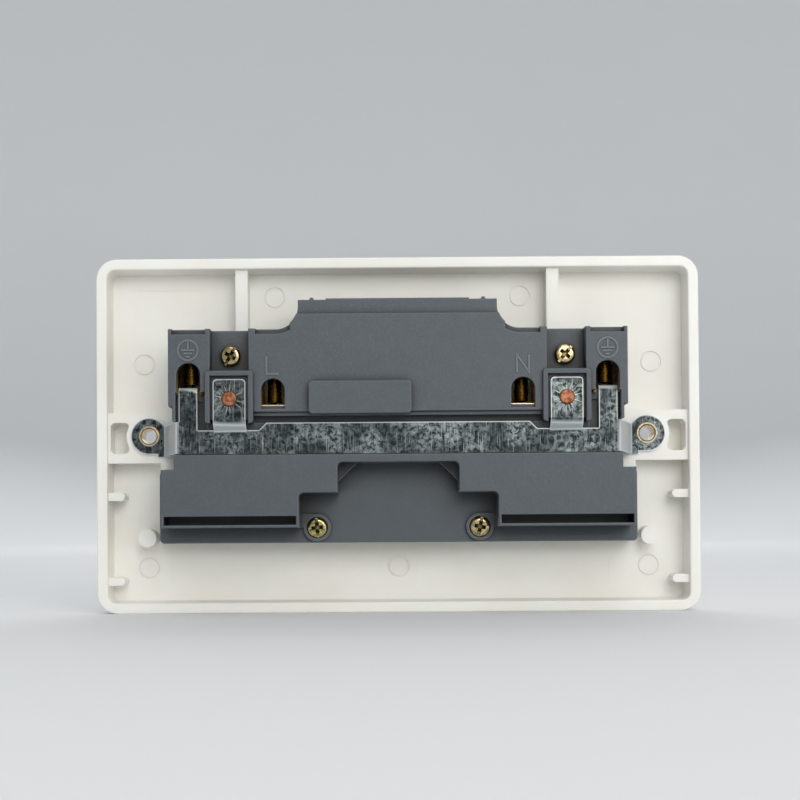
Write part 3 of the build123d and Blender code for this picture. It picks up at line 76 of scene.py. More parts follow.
def linear(hex_colour):
    """Turns an sRGB hex value into the linear colour that shaders take."""
    channels = [int(hex_colour[i : i + 2], 16) / 255 for i in (1, 3, 5)]
    return [c / 12.92 if c <= 0.04045 else ((c + 0.055) / 1.055) ** 2.4 for c in channels] + [1.0]


def new_material(name):
    """Starts a node material and returns it with its surface shader."""
    material = bpy.data.materials.new(name)
    material.use_nodes = True
    return material, material.node_tree.nodes["Principled BSDF"]


def add_node(material, kind, inputs=None, **settings):
    """Adds a shader node with its settings. Each input is a value, or a socket to link from."""
    tree = material.node_tree
    node = tree.nodes.new("ShaderNode" + kind)
    for name, value in settings.items():
        setattr(node, name, value)
    for key, value in (inputs or {}).items():
        if isinstance(value, bpy.types.NodeSocket):
            tree.links.new(value, node.inputs[key])
        else:
            node.inputs[key].default_value = value
    return node


def finish_shader(material, shader, links, **values):
    """Links what varies over the surface to the shader, and sets what is the same all over on it."""
    for name, socket in links.items():
        material.node_tree.links.new(socket, shader.inputs[name])
    for name, value in values.items():
        shader.inputs[name.replace("_", " ")].default_value = value


def dress(piece, material):
    """Gives a piece its material."""
    piece.data.materials.clear()
    piece.data.materials.append(material)


UREA_LIGHT = "#F6F5F0"
UREA_WARM = "#F3F1EA"
UREA_CLOUD_MM = 13.0
UREA_GRAIN_MM = 0.4
UREA_WAVE_MM = 5.0

urea, urea_shader = new_material("moulded_white_urea")
place = add_node(urea, "TexCoord").outputs["Object"]
cloud = add_node(urea, "TexNoise", {"Vector": place, "Scale": PER_MM / UREA_CLOUD_MM, "Detail": 3.0})
share = add_node(urea, "MapRange", {"Value": cloud.outputs["Fac"], "From Min": 0.35, "From Max": 0.65})
tone = add_node(
    urea,
    "Mix",
    {FACTOR: share.outputs["Result"], FIRST: linear(UREA_LIGHT), SECOND: linear(UREA_WARM)},
    data_type="RGBA",
)
grain = add_node(urea, "TexNoise", {"Vector": place, "Scale": PER_MM / UREA_GRAIN_MM, "Detail": 2.0})
wave = add_node(urea, "TexNoise", {"Vector": place, "Scale": PER_MM / UREA_WAVE_MM, "Detail": 1.0})
gloss = add_node(
    urea,
    "MapRange",
    {"Value": grain.outputs["Fac"], "From Min": 0.3, "From Max": 0.7, "To Min": 0.34, "To Max": 0.46},
)
ripple = add_node(urea, "Bump", {"Height": wave.outputs["Fac"], "Strength": 0.25, "Distance": 0.00008})
skin = add_node(
    urea,
    "Bump",
    {
        "Height": grain.outputs["Fac"],
        "Strength": 0.1,
        "Distance": 0.00002,
        "Normal": ripple.outputs["Normal"],
    },
)
finish_shader(
    urea,
    urea_shader,
    {
        "Base Color": tone.outputs[RESULT],
        "Roughness": gloss.outputs["Result"],
        "Normal": skin.outputs["Normal"],
    },
    IOR=1.55,
    Subsurface_Weight=0.3,
    Subsurface_Radius=(1.0, 0.9, 0.75),
    Subsurface_Scale=0.002,
)
dress(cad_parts["faceplate"], urea)


# Rockers
# Two white urea rockers that snap between the lugs on the plate, each with a hollow leg behind.
# A glass-filled plunger slides in the leg on a small spring and rolls over the contact plate.

for side in ("left", "right"):
    dress(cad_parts["rocker_" + side], urea)

NYLON_LIGHT = "#E8E2D0"
NYLON_DARK = "#D9D2BD"
NYLON_GRAIN_MM = 0.6

nylon, nylon_shader = new_material("natural_nylon")
place = add_node(nylon, "TexCoord").outputs["Object"]
grain = add_node(nylon, "TexNoise", {"Vector": place, "Scale": PER_MM / NYLON_GRAIN_MM, "Detail": 3.0})
tone = add_node(
    nylon,
    "Mix",
    {FACTOR: grain.outputs["Fac"], FIRST: linear(NYLON_LIGHT), SECOND: linear(NYLON_DARK)},
    data_type="RGBA",
)
gloss = add_node(nylon, "MapRange", {"Value": grain.outputs["Fac"], "To Min": 0.35, "To Max": 0.55})
skin = add_node(nylon, "Bump", {"Height": grain.outputs["Fac"], "Strength": 0.15, "Distance": 0.00003})
finish_shader(
    nylon,
    nylon_shader,
    {
        "Base Color": tone.outputs[RESULT],
        "Roughness": gloss.outputs["Result"],
        "Normal": skin.outputs["Normal"],
    },
    IOR=1.53,
)

WIRE_LIGHT = "#B9BBBD"
WIRE_DARK = "#8E9194"
WIRE_DRAW_MM = 0.15

wire, wire_shader = new_material("drawn_spring_wire")
place = add_node(wire, "TexCoord").outputs["Object"]
draw = add_node(wire, "TexNoise", {"Vector": place, "Scale": PER_MM / WIRE_DRAW_MM, "Detail": 2.0})
tone = add_node(
    wire,
    "Mix",
    {FACTOR: draw.outputs["Fac"], FIRST: linear(WIRE_LIGHT), SECOND: linear(WIRE_DARK)},
    data_type="RGBA",
)
gloss = add_node(wire, "MapRange", {"Value": draw.outputs["Fac"], "To Min": 0.22, "To Max": 0.42})
finish_shader(
    wire,
    wire_shader,
    {"Base Color": tone.outputs[RESULT], "Roughness": gloss.outputs["Result"]},
    Metallic=1.0,
)

for side in ("left", "right"):
    dress(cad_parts["plunger_" + side], nylon)
    dress(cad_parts["plunger_spring_" + side], wire)


# Shutters
# A plain nylon slide behind each set of pin holes, held by rails on the plate.
# The earth pin pushes it down against a small wire spring, which closes the slide again.

for side in ("left", "right"):
    dress(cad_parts["shutter_" + side], nylon)
    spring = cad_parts["shutter_spring_" + side]
    dress(spring, wire)
    low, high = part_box("shutter_spring_" + side)
    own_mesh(spring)


# Contacts and busbars
# Brass strip, blanked and bent, that grips the pins and carries the current to the terminals.
# Rolling leaves it smooth with a faint grain, and the air gives it a slightly brown bloom.

BRASS_BRIGHT = "#E0BE6A"
BRASS_BROWN = "#B58F45"
BRASS_BLOOM_MM = 2.5
BRASS_GRAIN_MM = 0.2

brass, brass_shader = new_material("rolled_brass")
place = add_node(brass, "TexCoord").outputs["Object"]
bloom = add_node(brass, "TexNoise", {"Vector": place, "Scale": PER_MM / BRASS_BLOOM_MM, "Detail": 4.0})
share = add_node(brass, "MapRange", {"Value": bloom.outputs["Fac"], "From Min": 0.3, "From Max": 0.7})
tone = add_node(
    brass,
    "Mix",
    {FACTOR: share.outputs["Result"], FIRST: linear(BRASS_BRIGHT), SECOND: linear(BRASS_BROWN)},
    data_type="RGBA",
)
grain = add_node(brass, "TexNoise", {"Vector": place, "Scale": PER_MM / BRASS_GRAIN_MM, "Detail": 2.0})
gloss = add_node(brass, "MapRange", {"Value": grain.outputs["Fac"], "To Min": 0.2, "To Max": 0.4})
skin = add_node(brass, "Bump", {"Height": grain.outputs["Fac"], "Strength": 0.1, "Distance": 0.00002})
finish_shader(
    brass,
    brass_shader,
    {
        "Base Color": tone.outputs[RESULT],
        "Roughness": gloss.outputs["Result"],
        "Normal": skin.outputs["Normal"],
    },
    Metallic=1.0,
)

for name in ("live_busbar", "neutral_busbar"):
    dress(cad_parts[name], brass)
for side in ("left", "right"):
    for name in ("earth_contact_", "live_contact_", "moving_contact_"):
        dress(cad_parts[name + side], brass)

SILVER_LIGHT = "#E6E4DE"
SILVER_DULL = "#BDBAB3"
SILVER_MARK_MM = 0.4

silver, silver_shader = new_material("contact_silver")
place = add_node(silver, "TexCoord").outputs["Object"]
mark = add_node(silver, "TexNoise", {"Vector": place, "Scale": PER_MM / SILVER_MARK_MM, "Detail": 3.0})
tone = add_node(
    silver,
    "Mix",
    {FACTOR: mark.outputs["Fac"], FIRST: linear(SILVER_LIGHT), SECOND: linear(SILVER_DULL)},
    data_type="RGBA",
)
gloss = add_node(silver, "MapRange", {"Value": mark.outputs["Fac"], "To Min": 0.2, "To Max": 0.5})
finish_shader(
    silver,
    silver_shader,
    {"Base Color": tone.outputs[RESULT], "Roughness": gloss.outputs["Result"]},
    Metallic=1.0,
)
dress(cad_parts["fixed_contact_tips"], silver)


# Terminals
# Box clamps of bent brass, seated in the grey housing behind the arched wire entries.
# Oil and air have browned them, and their dark brown is also painted shade for the insides of the wire
# entries. A painted shade deepens in their hollows, and the line clamps' bases carry a painted highlight.

# the browned tones are partly tarnish and partly painted shade for the dark insides of the entries
BROWNED_DARK = "#4A3513"
BROWNED_LIGHT = "#A07C35"
BROWNED_SPOT_MM = 1.5
BROWNED_PAINTED_SHADE = "#0E0A05"
BROWNED_PAINTED_SHADE_REACH = 0.005
BRASS_PAINTED_HIGHLIGHT = "#F0DCA0"
HIGHLIGHT_BASE_TOP = 0.00625
LINE_CLAMPS_HALF = 0.038

browned_and_shaded, browned_shader = new_material("browned_and_shade_painted_brass")
place = add_node(browned_and_shaded, "TexCoord").outputs["Object"]
spot = add_node(browned_and_shaded, "TexNoise", {"Vector": place, "Scale": PER_MM / BROWNED_SPOT_MM, "Detail": 4.0})
tone = add_node(
    browned_and_shaded,
    "Mix",
    {FACTOR: spot.outputs["Fac"], FIRST: linear(BROWNED_DARK), SECOND: linear(BROWNED_LIGHT)},
    data_type="RGBA",
)
parts = add_node(browned_and_shaded, "SeparateXYZ", {"Vector": place})
# painted highlight: below a set height, the line clamps' bases are painted pale bright brass
base = add_node(browned_and_shaded, "Math", {0: parts.outputs["Z"], 1: HIGHLIGHT_BASE_TOP}, operation="LESS_THAN")
either_side = add_node(browned_and_shaded, "Math", {0: parts.outputs["X"]}, operation="ABSOLUTE")
line_clamp = add_node(
    browned_and_shaded, "Math", {0: either_side.outputs["Value"], 1: LINE_CLAMPS_HALF}, operation="LESS_THAN"
)
line_base = add_node(
    browned_and_shaded, "Math", {0: base.outputs["Value"], 1: line_clamp.outputs["Value"]}, operation="MULTIPLY"
)
base_highlighted = add_node(
    browned_and_shaded,
    "Mix",
    {FACTOR: line_base.outputs["Value"], FIRST: tone.outputs[RESULT], SECOND: linear(BRASS_PAINTED_HIGHLIGHT)},
    data_type="RGBA",
)
# painted shade: the colour goes to near black where ambient occlusion finds hollows
shade_ao = add_node(browned_and_shaded, "AmbientOcclusion", {"Distance": BROWNED_PAINTED_SHADE_REACH})
painted_shade_share = add_node(browned_and_shaded, "MapRange", {"Value": shade_ao.outputs["AO"], "From Max": 0.3})
shaded = add_node(
    browned_and_shaded,
    "Mix",
    {FACTOR: painted_shade_share.outputs["Result"], FIRST: linear(BROWNED_PAINTED_SHADE), SECOND: base_highlighted.outputs[RESULT]},
    data_type="RGBA",
)
gloss = add_node(browned_and_shaded, "MapRange", {"Value": spot.outputs["Fac"], "To Min": 0.2, "To Max": 0.36})
finish_shader(
    browned_and_shaded,
    browned_shader,
    {"Base Color": shaded.outputs[RESULT], "Roughness": gloss.outputs["Result"]},
    Metallic=1.0,
)

for name in ("live_terminal", "neutral_terminal", "earth_terminal_left", "earth_terminal_right"):
    dress(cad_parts[name], browned_and_shaded)


# Terminal screws
# Four slotted cheese-head screws, turned in brass, that go down through the clamps onto the wires.
# They take the clamps' browned brass with its painted shade, so only the thread's crests catch the light.

CLAMP_SCREW_RADIUS = 0.00175
CLAMP_SCREW_LENGTH = 0.0098
CLAMP_THREAD_PITCH = 0.0005
CLAMP_THREAD_DEPTH = 0.00025
CLAMP_HEAD_RADIUS = 0.0026
CLAMP_HEAD_HEIGHT = 0.0022
CLAMP_HEAD_BEVEL = 0.0003
CLAMP_SLOT_WIDTH = 0.0009
CLAMP_SLOT_DEPTH = 0.0011
CLAMP_STANDOFF = 0.0008
CLAMP_BASE = 0.0009
TONGUE_SHEET = 0.0008
CLAMP_SCREW_Y = -0.0096
THREAD_STEPS = 24
# One turn's outline from the root: steps outwards in thread depths and upwards in pitches
THREAD_FORM = ((0, 0.15), (1, 0.3), (0, 0.15), (-1, 0.4))
HEAD_SIDES = 48
HEAD_BEVEL_STEPS = 6
SLOT_RUN = 3.0  # a straight slot's cutter is this many head radii long, so it runs out at both sides
SCREW_SMOOTH_ANGLE = 35.0


def threaded_rod(name, radius, pitch, depth, length):
    """Makes a rod that stands on the origin along Z, with a helical thread and flat ends."""
    bpy.ops.mesh.primitive_plane_add(size=pitch)
    rod = bpy.context.object
    rod.name = name
    bpy.ops.object.mode_set(mode="EDIT")
    bpy.ops.mesh.select_mode(type="VERT")
    bpy.ops.mesh.merge(type="CENTER")
    bpy.ops.transform.translate(value=(radius - depth, 0, -pitch))
    for outward, upward in THREAD_FORM:
        bpy.ops.mesh.extrude_vertices_move(
            TRANSFORM_OT_translate={"value": (outward * depth, 0, upward * pitch)}
        )
    bpy.ops.object.mode_set(mode="OBJECT")
    winding = rod.modifiers.new("thread", "SCREW")
    winding.axis = "Z"
    winding.screw_offset = pitch
    winding.iterations = math.ceil(length / pitch) + 2
    winding.steps = THREAD_STEPS
    winding.render_steps = THREAD_STEPS
    bpy.ops.object.modifier_apply(modifier="thread")
    bpy.ops.object.mode_set(mode="EDIT")
    bpy.ops.mesh.select_all(action="SELECT")
    bpy.ops.mesh.remove_doubles(threshold=pitch / 100)
    bpy.ops.mesh.bisect(plane_co=(0, 0, 0), plane_no=(0, 0, 1), use_fill=True, clear_inner=True)
    bpy.ops.mesh.select_all(action="SELECT")
    bpy.ops.mesh.bisect(plane_co=(0, 0, length), plane_no=(0, 0, 1), use_fill=True, clear_outer=True)
    bpy.ops.mesh.select_all(action="SELECT")
    bpy.ops.mesh.normals_make_consistent(inside=False)
    bpy.ops.object.mode_set(mode="OBJECT")
    return rod


def round_head(name, radius, height, base, bevel):
    """Makes a round screw head that stands on a base height along Z, with its upper edge rounded."""
    bpy.ops.mesh.primitive_circle_add(
        vertices=HEAD_SIDES, radius=radius, fill_type="NGON", location=(0, 0, base)
    )
    head = bpy.context.object
    head.name = name
    bpy.ops.object.transform_apply(location=True)
    bpy.ops.object.mode_set(mode="EDIT")
    bpy.ops.mesh.select_mode(type="FACE")
    bpy.ops.mesh.select_all(action="SELECT")
    bpy.ops.mesh.extrude_region_move(TRANSFORM_OT_translate={"value": (0, 0, height)})
    bpy.ops.mesh.select_mode(type="EDGE")
    bpy.ops.mesh.bevel(offset=bevel, segments=HEAD_BEVEL_STEPS, affect="EDGES")
    bpy.ops.mesh.select_all(action="SELECT")
    bpy.ops.mesh.normals_make_consistent(inside=False)
    bpy.ops.object.mode_set(mode="OBJECT")
    return head


def cut_slot(head, length, width, depth, top, taper):
    """Cuts a straight slot into a head from its top, narrower at the bottom by the taper."""
    bpy.ops.mesh.primitive_cube_add(size=1, location=(0, 0, 0))
    cutter = bpy.context.object
    bpy.ops.object.mode_set(mode="EDIT")
    bpy.ops.transform.resize(value=(length, width, 2 * depth))
    bpy.ops.transform.translate(value=(0, 0, top))
    bpy.ops.mesh.select_mode(type="VERT")
    bpy.ops.mesh.select_all(action="DESELECT")
    bpy.ops.object.mode_set(mode="OBJECT")
    for corner in cutter.data.vertices:
        corner.select = corner.co.z < top
    bpy.ops.object.mode_set(mode="EDIT")
    bpy.ops.transform.resize(value=(taper, taper, 1), center_override=(0, 0, top))
    bpy.ops.object.mode_set(mode="OBJECT")
    cut = head.modifiers.new("slot", "BOOLEAN")
    cut.operation = "DIFFERENCE"
    cut.object = cutter
    bpy.context.view_layer.objects.active = head
    bpy.ops.object.modifier_apply(modifier="slot")
    bpy.data.objects.remove(cutter)


def join_pieces(pieces, name):
    """Joins pieces into the first one and leaves nothing selected."""
    bpy.ops.object.select_all(action="DESELECT")
    for piece in pieces:
        piece.select_set(True)
    bpy.context.view_layer.objects.active = pieces[0]
    bpy.ops.object.join()
    bpy.ops.object.shade_smooth_by_angle(angle=math.radians(SCREW_SMOOTH_ANGLE))
    pieces[0].name = name
    bpy.ops.object.select_all(action="DESELECT")
    return pieces[0]


def place_copy(pattern, name, place):
    """Puts a copy of a piece, with its own mesh, at a place given as a matrix."""
    piece = bpy.data.objects.new(name, pattern.data.copy())
    piece.data.transform(place)
    bpy.context.scene.collection.objects.link(piece)
    return piece


clamp_shank = threaded_rod(
    "clamp_shank", CLAMP_SCREW_RADIUS, CLAMP_THREAD_PITCH, CLAMP_THREAD_DEPTH, CLAMP_SCREW_LENGTH
)
clamp_head = round_head(
    "clamp_head", CLAMP_HEAD_RADIUS, CLAMP_HEAD_HEIGHT, CLAMP_SCREW_LENGTH, CLAMP_HEAD_BEVEL
)
clamp_top = CLAMP_SCREW_LENGTH + CLAMP_HEAD_HEIGHT
cut_slot(clamp_head, SLOT_RUN * CLAMP_HEAD_RADIUS, CLAMP_SLOT_WIDTH, CLAMP_SLOT_DEPTH, clamp_top, 1.0)
clamp_screw = join_pieces([clamp_shank, clamp_head], "clamp_screw")
for name, seat in (
    ("live_terminal", CLAMP_BASE),
    ("neutral_terminal", CLAMP_BASE),
    ("earth_terminal_left", CLAMP_BASE + TONGUE_SHEET),
    ("earth_terminal_right", CLAMP_BASE + TONGUE_SHEET),
):
    low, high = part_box(name)
    tip_z = low[2] + seat + CLAMP_STANDOFF
    spot = Matrix.Translation(((low[0] + high[0]) / 2, CLAMP_SCREW_Y, tip_z))
    piece = place_copy(clamp_screw, name + "_screw", spot)
    dress(piece, browned_and_shaded)
    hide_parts("terminal_screws")
    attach(piece, "case")
bpy.data.objects.remove(clamp_screw)


# Rear housing
# One injection moulding in dark grey polycarbonate that covers the contacts and carries the strap.
# The mould was spark eroded, so the faces are matt with a fine pale fleck. The edges carry a painted
# highlight, and hollows and crevices a painted shade.

GREY_DARK = "#424950"
GREY_LIGHT = "#4B5259"
GREY_FLECK = "#6A7174"
GREY_EDGE_HIGHLIGHT = "#8A9197"
GREY_EDGE_HIGHLIGHT_REACH = 0.0003
GREY_PAINTED_SHADE = "#101215"
GREY_PAINTED_SHADE_REACH = 0.006
GREY_CLOUD_MM = 4.0
GREY_FLECK_MM = 0.3
GREY_GRAIN_MM = 0.25

grey, grey_shader = new_material("spark_eroded_grey_polycarbonate")
place = add_node(grey, "TexCoord").outputs["Object"]
cloud = add_node(grey, "TexNoise", {"Vector": place, "Scale": PER_MM / GREY_CLOUD_MM, "Detail": 4.0})
tone = add_node(
    grey,
    "Mix",
    {FACTOR: cloud.outputs["Fac"], FIRST: linear(GREY_DARK), SECOND: linear(GREY_LIGHT)},
    data_type="RGBA",
)
fleck = add_node(grey, "TexNoise", {"Vector": place, "Scale": PER_MM / GREY_FLECK_MM, "Detail": 2.0})
fleck_share = add_node(
    grey,
    "MapRange",
    {"Value": fleck.outputs["Fac"], "From Min": 0.5, "From Max": 0.8, "To Max": 0.35},
)
flecked = add_node(
    grey,
    "Mix",
    {FACTOR: fleck_share.outputs["Result"], FIRST: tone.outputs[RESULT], SECOND: linear(GREY_FLECK)},
    data_type="RGBA",
)
# painted highlight: the colour is lightened along convex edges, found by short rays into the part
inside = add_node(grey, "AmbientOcclusion", {"Distance": GREY_EDGE_HIGHLIGHT_REACH}, inside=True, only_local=True)
edge_highlight_share = add_node(
    grey,
    "MapRange",
    {"Value": inside.outputs["AO"], "From Min": 0.6, "From Max": 1.0, "To Min": 0.6, "To Max": 0.0},
)
edge_highlighted = add_node(
    grey,
    "Mix",
    {FACTOR: edge_highlight_share.outputs["Result"], FIRST: flecked.outputs[RESULT], SECOND: linear(GREY_EDGE_HIGHLIGHT)},
    data_type="RGBA",
)
# painted shade: the colour goes to near black where ambient occlusion finds hollows, crevices and overhangs
shade_ao = add_node(grey, "AmbientOcclusion", {"Distance": GREY_PAINTED_SHADE_REACH})
painted_shade_share = add_node(
    grey,
    "MapRange",
    {"Value": shade_ao.outputs["AO"], "From Min": 0.4, "From Max": 0.88, "To Min": 0.05, "To Max": 1.0},
)
crevice_shaded = add_node(
    grey,
    "Mix",
    {FACTOR: painted_shade_share.outputs["Result"], FIRST: linear(GREY_PAINTED_SHADE), SECOND: edge_highlighted.outputs[RESULT]},
    data_type="RGBA",
)
grain = add_node(grey, "TexNoise", {"Vector": place, "Scale": PER_MM / GREY_GRAIN_MM, "Detail": 2.0})
gloss = add_node(grey, "MapRange", {"Value": grain.outputs["Fac"], "To Min": 0.42, "To Max": 0.62})
skin = add_node(grey, "Bump", {"Height": grain.outputs["Fac"], "Strength": 0.35, "Distance": 0.00003})
finish_shader(
    grey,
    grey_shader,
    {
        "Base Color": crevice_shaded.outputs[RESULT],
        "Roughness": gloss.outputs["Result"],
        "Normal": skin.outputs["Normal"],
    },
    IOR=1.58,
)
dress(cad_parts["rear_housing"], grey)


# Earth strap
# One strip of hot-dip galvanised steel, 0.8 mm thick, blanked and bent at the tabs, arms and ears.
# The zinc froze in a dark and light mottle, and handling scratched it. Bends and cut edges carry a painted
# highlight: the bends by the way they face, the upper edges along their rims.

ZINC_DARK = "#22282A"
ZINC_LIGHT = "#8C9495"
ZINC_BARE_AND_HIGHLIGHT = "#D5DBDD"
ZINC_EDGE_HIGHLIGHT = "#F4F8FA"
ZINC_MOTTLE_MM = 1.1
ZINC_PATCH_MM = 5.5
SCRATCH_WIDTH_MM = 0.15
SCRATCH_LENGTH_MM = 6.0
RIVET_X = 0.0391
RIVET_Z = 0.0075
RIVET_EDGE = 0.0018
SCRATCH_REACH = 0.0038
SCRATCHES_AROUND = 7.0
STRAP_EDGE = 0.00025
STRAP_EDGE_STEPS = 2
STRAP_EDGE_ANGLE = 50.0
STRAP_EDGE_HIGHLIGHT_REACH = 0.00035
EDGE_HIGHLIGHT_LOW_Z = -0.0045

zinc, zinc_shader = new_material("galvanised_steel")
place = add_node(zinc, "TexCoord").outputs["Object"]
mottle = add_node(
    zinc,
    "TexNoise",
    {
        "Vector": place,
        "Scale": PER_MM / ZINC_MOTTLE_MM,
        "Detail": 8.0,
        "Roughness": 0.68,
        "Distortion": 0.5,
    },
)
patch = add_node(zinc, "TexNoise", {"Vector": place, "Scale": PER_MM / ZINC_PATCH_MM, "Detail": 2.0})
spread = add_node(zinc, "MapRange", {"Value": mottle.outputs["Fac"], "From Min": 0.42, "From Max": 0.62})
fade = add_node(
    zinc,
    "MapRange",
    {"Value": patch.outputs["Fac"], "From Min": 0.36, "From Max": 0.64, "To Min": 0.2, "To Max": 1.0},
)
share = add_node(
    zinc, "Math", {0: spread.outputs["Result"], 1: fade.outputs["Result"]}, operation="MULTIPLY"
)
tone = add_node(
    zinc,
    "Mix",
    {FACTOR: share.outputs["Value"], FIRST: linear(ZINC_DARK), SECOND: linear(ZINC_LIGHT)},
    data_type="RGBA",
)
stretch = add_node(
    zinc,
    "Mapping",
    {
        "Vector": place,
        "Scale": (PER_MM / SCRATCH_WIDTH_MM, PER_MM / SCRATCH_LENGTH_MM, PER_MM / SCRATCH_LENGTH_MM),
    },
)
scratch = add_node(zinc, "TexNoise", {"Vector": stretch.outputs["Vector"], "Scale": 1.0, "Detail": 2.0})
scratch_share = add_node(
    zinc,
    "MapRange",
    {"Value": scratch.outputs["Fac"], "From Min": 0.6, "From Max": 0.76, "To Max": 0.5},
)
scratched = add_node(
    zinc,
    "Mix",
    {FACTOR: scratch_share.outputs["Result"], FIRST: tone.outputs[RESULT], SECOND: linear(ZINC_BARE_AND_HIGHLIGHT)},
    data_type="RGBA",
)
parts = add_node(zinc, "SeparateXYZ", {"Vector": place})
either_side = add_node(zinc, "Math", {0: parts.outputs["X"]}, operation="ABSOLUTE")
across = add_node(zinc, "Math", {0: either_side.outputs["Value"], 1: RIVET_X}, operation="SUBTRACT")
along = add_node(zinc, "Math", {0: parts.outputs["Z"], 1: RIVET_Z}, operation="SUBTRACT")
offset = add_node(zinc, "CombineXYZ", {"X": across.outputs["Value"], "Y": along.outputs["Value"]})
reach = add_node(zinc, "VectorMath", {0: offset.outputs["Vector"]}, operation="LENGTH")
angle = add_node(
    zinc, "Math", {0: along.outputs["Value"], 1: across.outputs["Value"]}, operation="ARCTAN2"
)
turns = add_node(zinc, "Math", {0: angle.outputs["Value"], 1: SCRATCHES_AROUND}, operation="MULTIPLY")
ray_place = add_node(zinc, "CombineXYZ", {"X": turns.outputs["Value"], "Y": parts.outputs["X"]})
ray = add_node(zinc, "TexNoise", {"Vector": ray_place.outputs["Vector"], "Scale": 1.0, "Detail": 1.0})
ray_share = add_node(
    zinc,
    "MapRange",
    {"Value": ray.outputs["Fac"], "From Min": 0.54, "From Max": 0.66, "To Max": 0.8},
)
near_rivet = add_node(
    zinc,
    "MapRange",
    {
        "Value": reach.outputs["Value"],
        "From Min": RIVET_EDGE,
        "From Max": SCRATCH_REACH,
        "To Min": 1.0,
        "To Max": 0.0,
    },
)
ray_mark = add_node(
    zinc, "Math", {0: ray_share.outputs["Result"], 1: near_rivet.outputs["Result"]}, operation="MULTIPLY"
)
rayed = add_node(
    zinc,
    "Mix",
    {FACTOR: ray_mark.outputs["Value"], FIRST: scratched.outputs[RESULT], SECOND: linear(ZINC_BARE_AND_HIGHLIGHT)},
    data_type="RGBA",
)
# painted highlight: faces that turn away from front and back, such as bends and sides, take the pale
# bare-zinc colour and less metal
shape = add_node(zinc, "NewGeometry")
facing = add_node(zinc, "SeparateXYZ", {"Vector": shape.outputs["Normal"]})
squareness = add_node(zinc, "Math", {0: facing.outputs["Y"]}, operation="ABSOLUTE")
flat = add_node(zinc, "MapRange", {"Value": squareness.outputs["Value"], "From Min": 0.8, "From Max": 0.98})
facing_highlighted = add_node(
    zinc,
    "Mix",
    {FACTOR: flat.outputs["Result"], FIRST: linear(ZINC_BARE_AND_HIGHLIGHT), SECOND: rayed.outputs[RESULT]},
    data_type="RGBA",
)
# painted highlight: edges above a set height are painted near white, with less metal
inside = add_node(zinc, "AmbientOcclusion", {"Distance": STRAP_EDGE_HIGHLIGHT_REACH}, inside=True, only_local=True)
edge_highlight_share = add_node(
    zinc,
    "MapRange",
    {"Value": inside.outputs["AO"], "From Min": 0.6, "From Max": 0.95, "To Min": 0.7, "To Max": 0.0},
)
above = add_node(zinc, "Math", {0: parts.outputs["Z"], 1: EDGE_HIGHLIGHT_LOW_Z}, operation="GREATER_THAN")
painted_edge_highlight = add_node(
    zinc, "Math", {0: edge_highlight_share.outputs["Result"], 1: above.outputs["Value"]}, operation="MULTIPLY"
)
edge_highlighted = add_node(
    zinc,
    "Mix",
    {FACTOR: painted_edge_highlight.outputs["Value"], FIRST: facing_highlighted.outputs[RESULT], SECOND: linear(ZINC_EDGE_HIGHLIGHT)},
    data_type="RGBA",
)
gloss = add_node(zinc, "MapRange", {"Value": spread.outputs["Result"], "To Min": 0.38, "To Max": 0.28})
face_metal = add_node(zinc, "MapRange", {"Value": flat.outputs["Result"], "To Min": 0.35, "To Max": 1.0})
metal = add_node(
    zinc,
    "Math",
    {0: face_metal.outputs["Result"], 1: painted_edge_highlight.outputs["Value"]},
    operation="SUBTRACT",
    use_clamp=True,
)
skin = add_node(zinc, "Bump", {"Height": mottle.outputs["Fac"], "Strength": 0.12, "Distance": 0.00003})
finish_shader(
    zinc,
    zinc_shader,
    {
        "Base Color": edge_highlighted.outputs[RESULT],
        "Roughness": gloss.outputs["Result"],
        "Metallic": metal.outputs["Value"],
        "Normal": skin.outputs["Normal"],
    },
)
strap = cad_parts["earth_strap"]
dress(strap, zinc)
strap.modifiers.new("joined", "WELD").merge_threshold = STRAP_EDGE / 20
cut_edge = strap.modifiers.new("cut_edge", "BEVEL")
cut_edge.width = STRAP_EDGE
cut_edge.segments = STRAP_EDGE_STEPS
cut_edge.limit_method = "ANGLE"
cut_edge.angle_limit = math.radians(STRAP_EDGE_ANGLE)
cut_edge.harden_normals = True


# Earth rivets
# Two copper rivets, hammered flat over the strap's tabs, that hold the earth clips inside.
# The hammer left shallow dents, and the copper has browned in them.

COPPER_PINK = "#B07A5E"
COPPER_BROWN = "#7A4A33"
COPPER_DENT_MM = 0.8

copper, copper_shader = new_material("hammered_copper")
place = add_node(copper, "TexCoord").outputs["Object"]
dent = add_node(copper, "TexNoise", {"Vector": place, "Scale": PER_MM / COPPER_DENT_MM, "Detail": 3.0})
share = add_node(copper, "MapRange", {"Value": dent.outputs["Fac"], "From Min": 0.35, "From Max": 0.65})
tone = add_node(
    copper,
    "Mix",
    {FACTOR: share.outputs["Result"], FIRST: linear(COPPER_PINK), SECOND: linear(COPPER_BROWN)},
    data_type="RGBA",
)
gloss = add_node(copper, "MapRange", {"Value": dent.outputs["Fac"], "To Min": 0.4, "To Max": 0.6})
skin = add_node(copper, "Bump", {"Height": dent.outputs["Fac"], "Strength": 0.6, "Distance": 0.00015})
finish_shader(
    copper,
    copper_shader,
    {
        "Base Color": tone.outputs[RESULT],
        "Roughness": gloss.outputs["Result"],
        "Normal": skin.outputs["Normal"],
    },
    Metallic=1.0,
)
dress(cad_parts["earth_rivets"], copper)


# Fixing eyelets
# Two brass eyelets that hold the strap's ears to the plate and line the fixing holes.
# The punch that set them rolled the lip outwards and split it into petals.

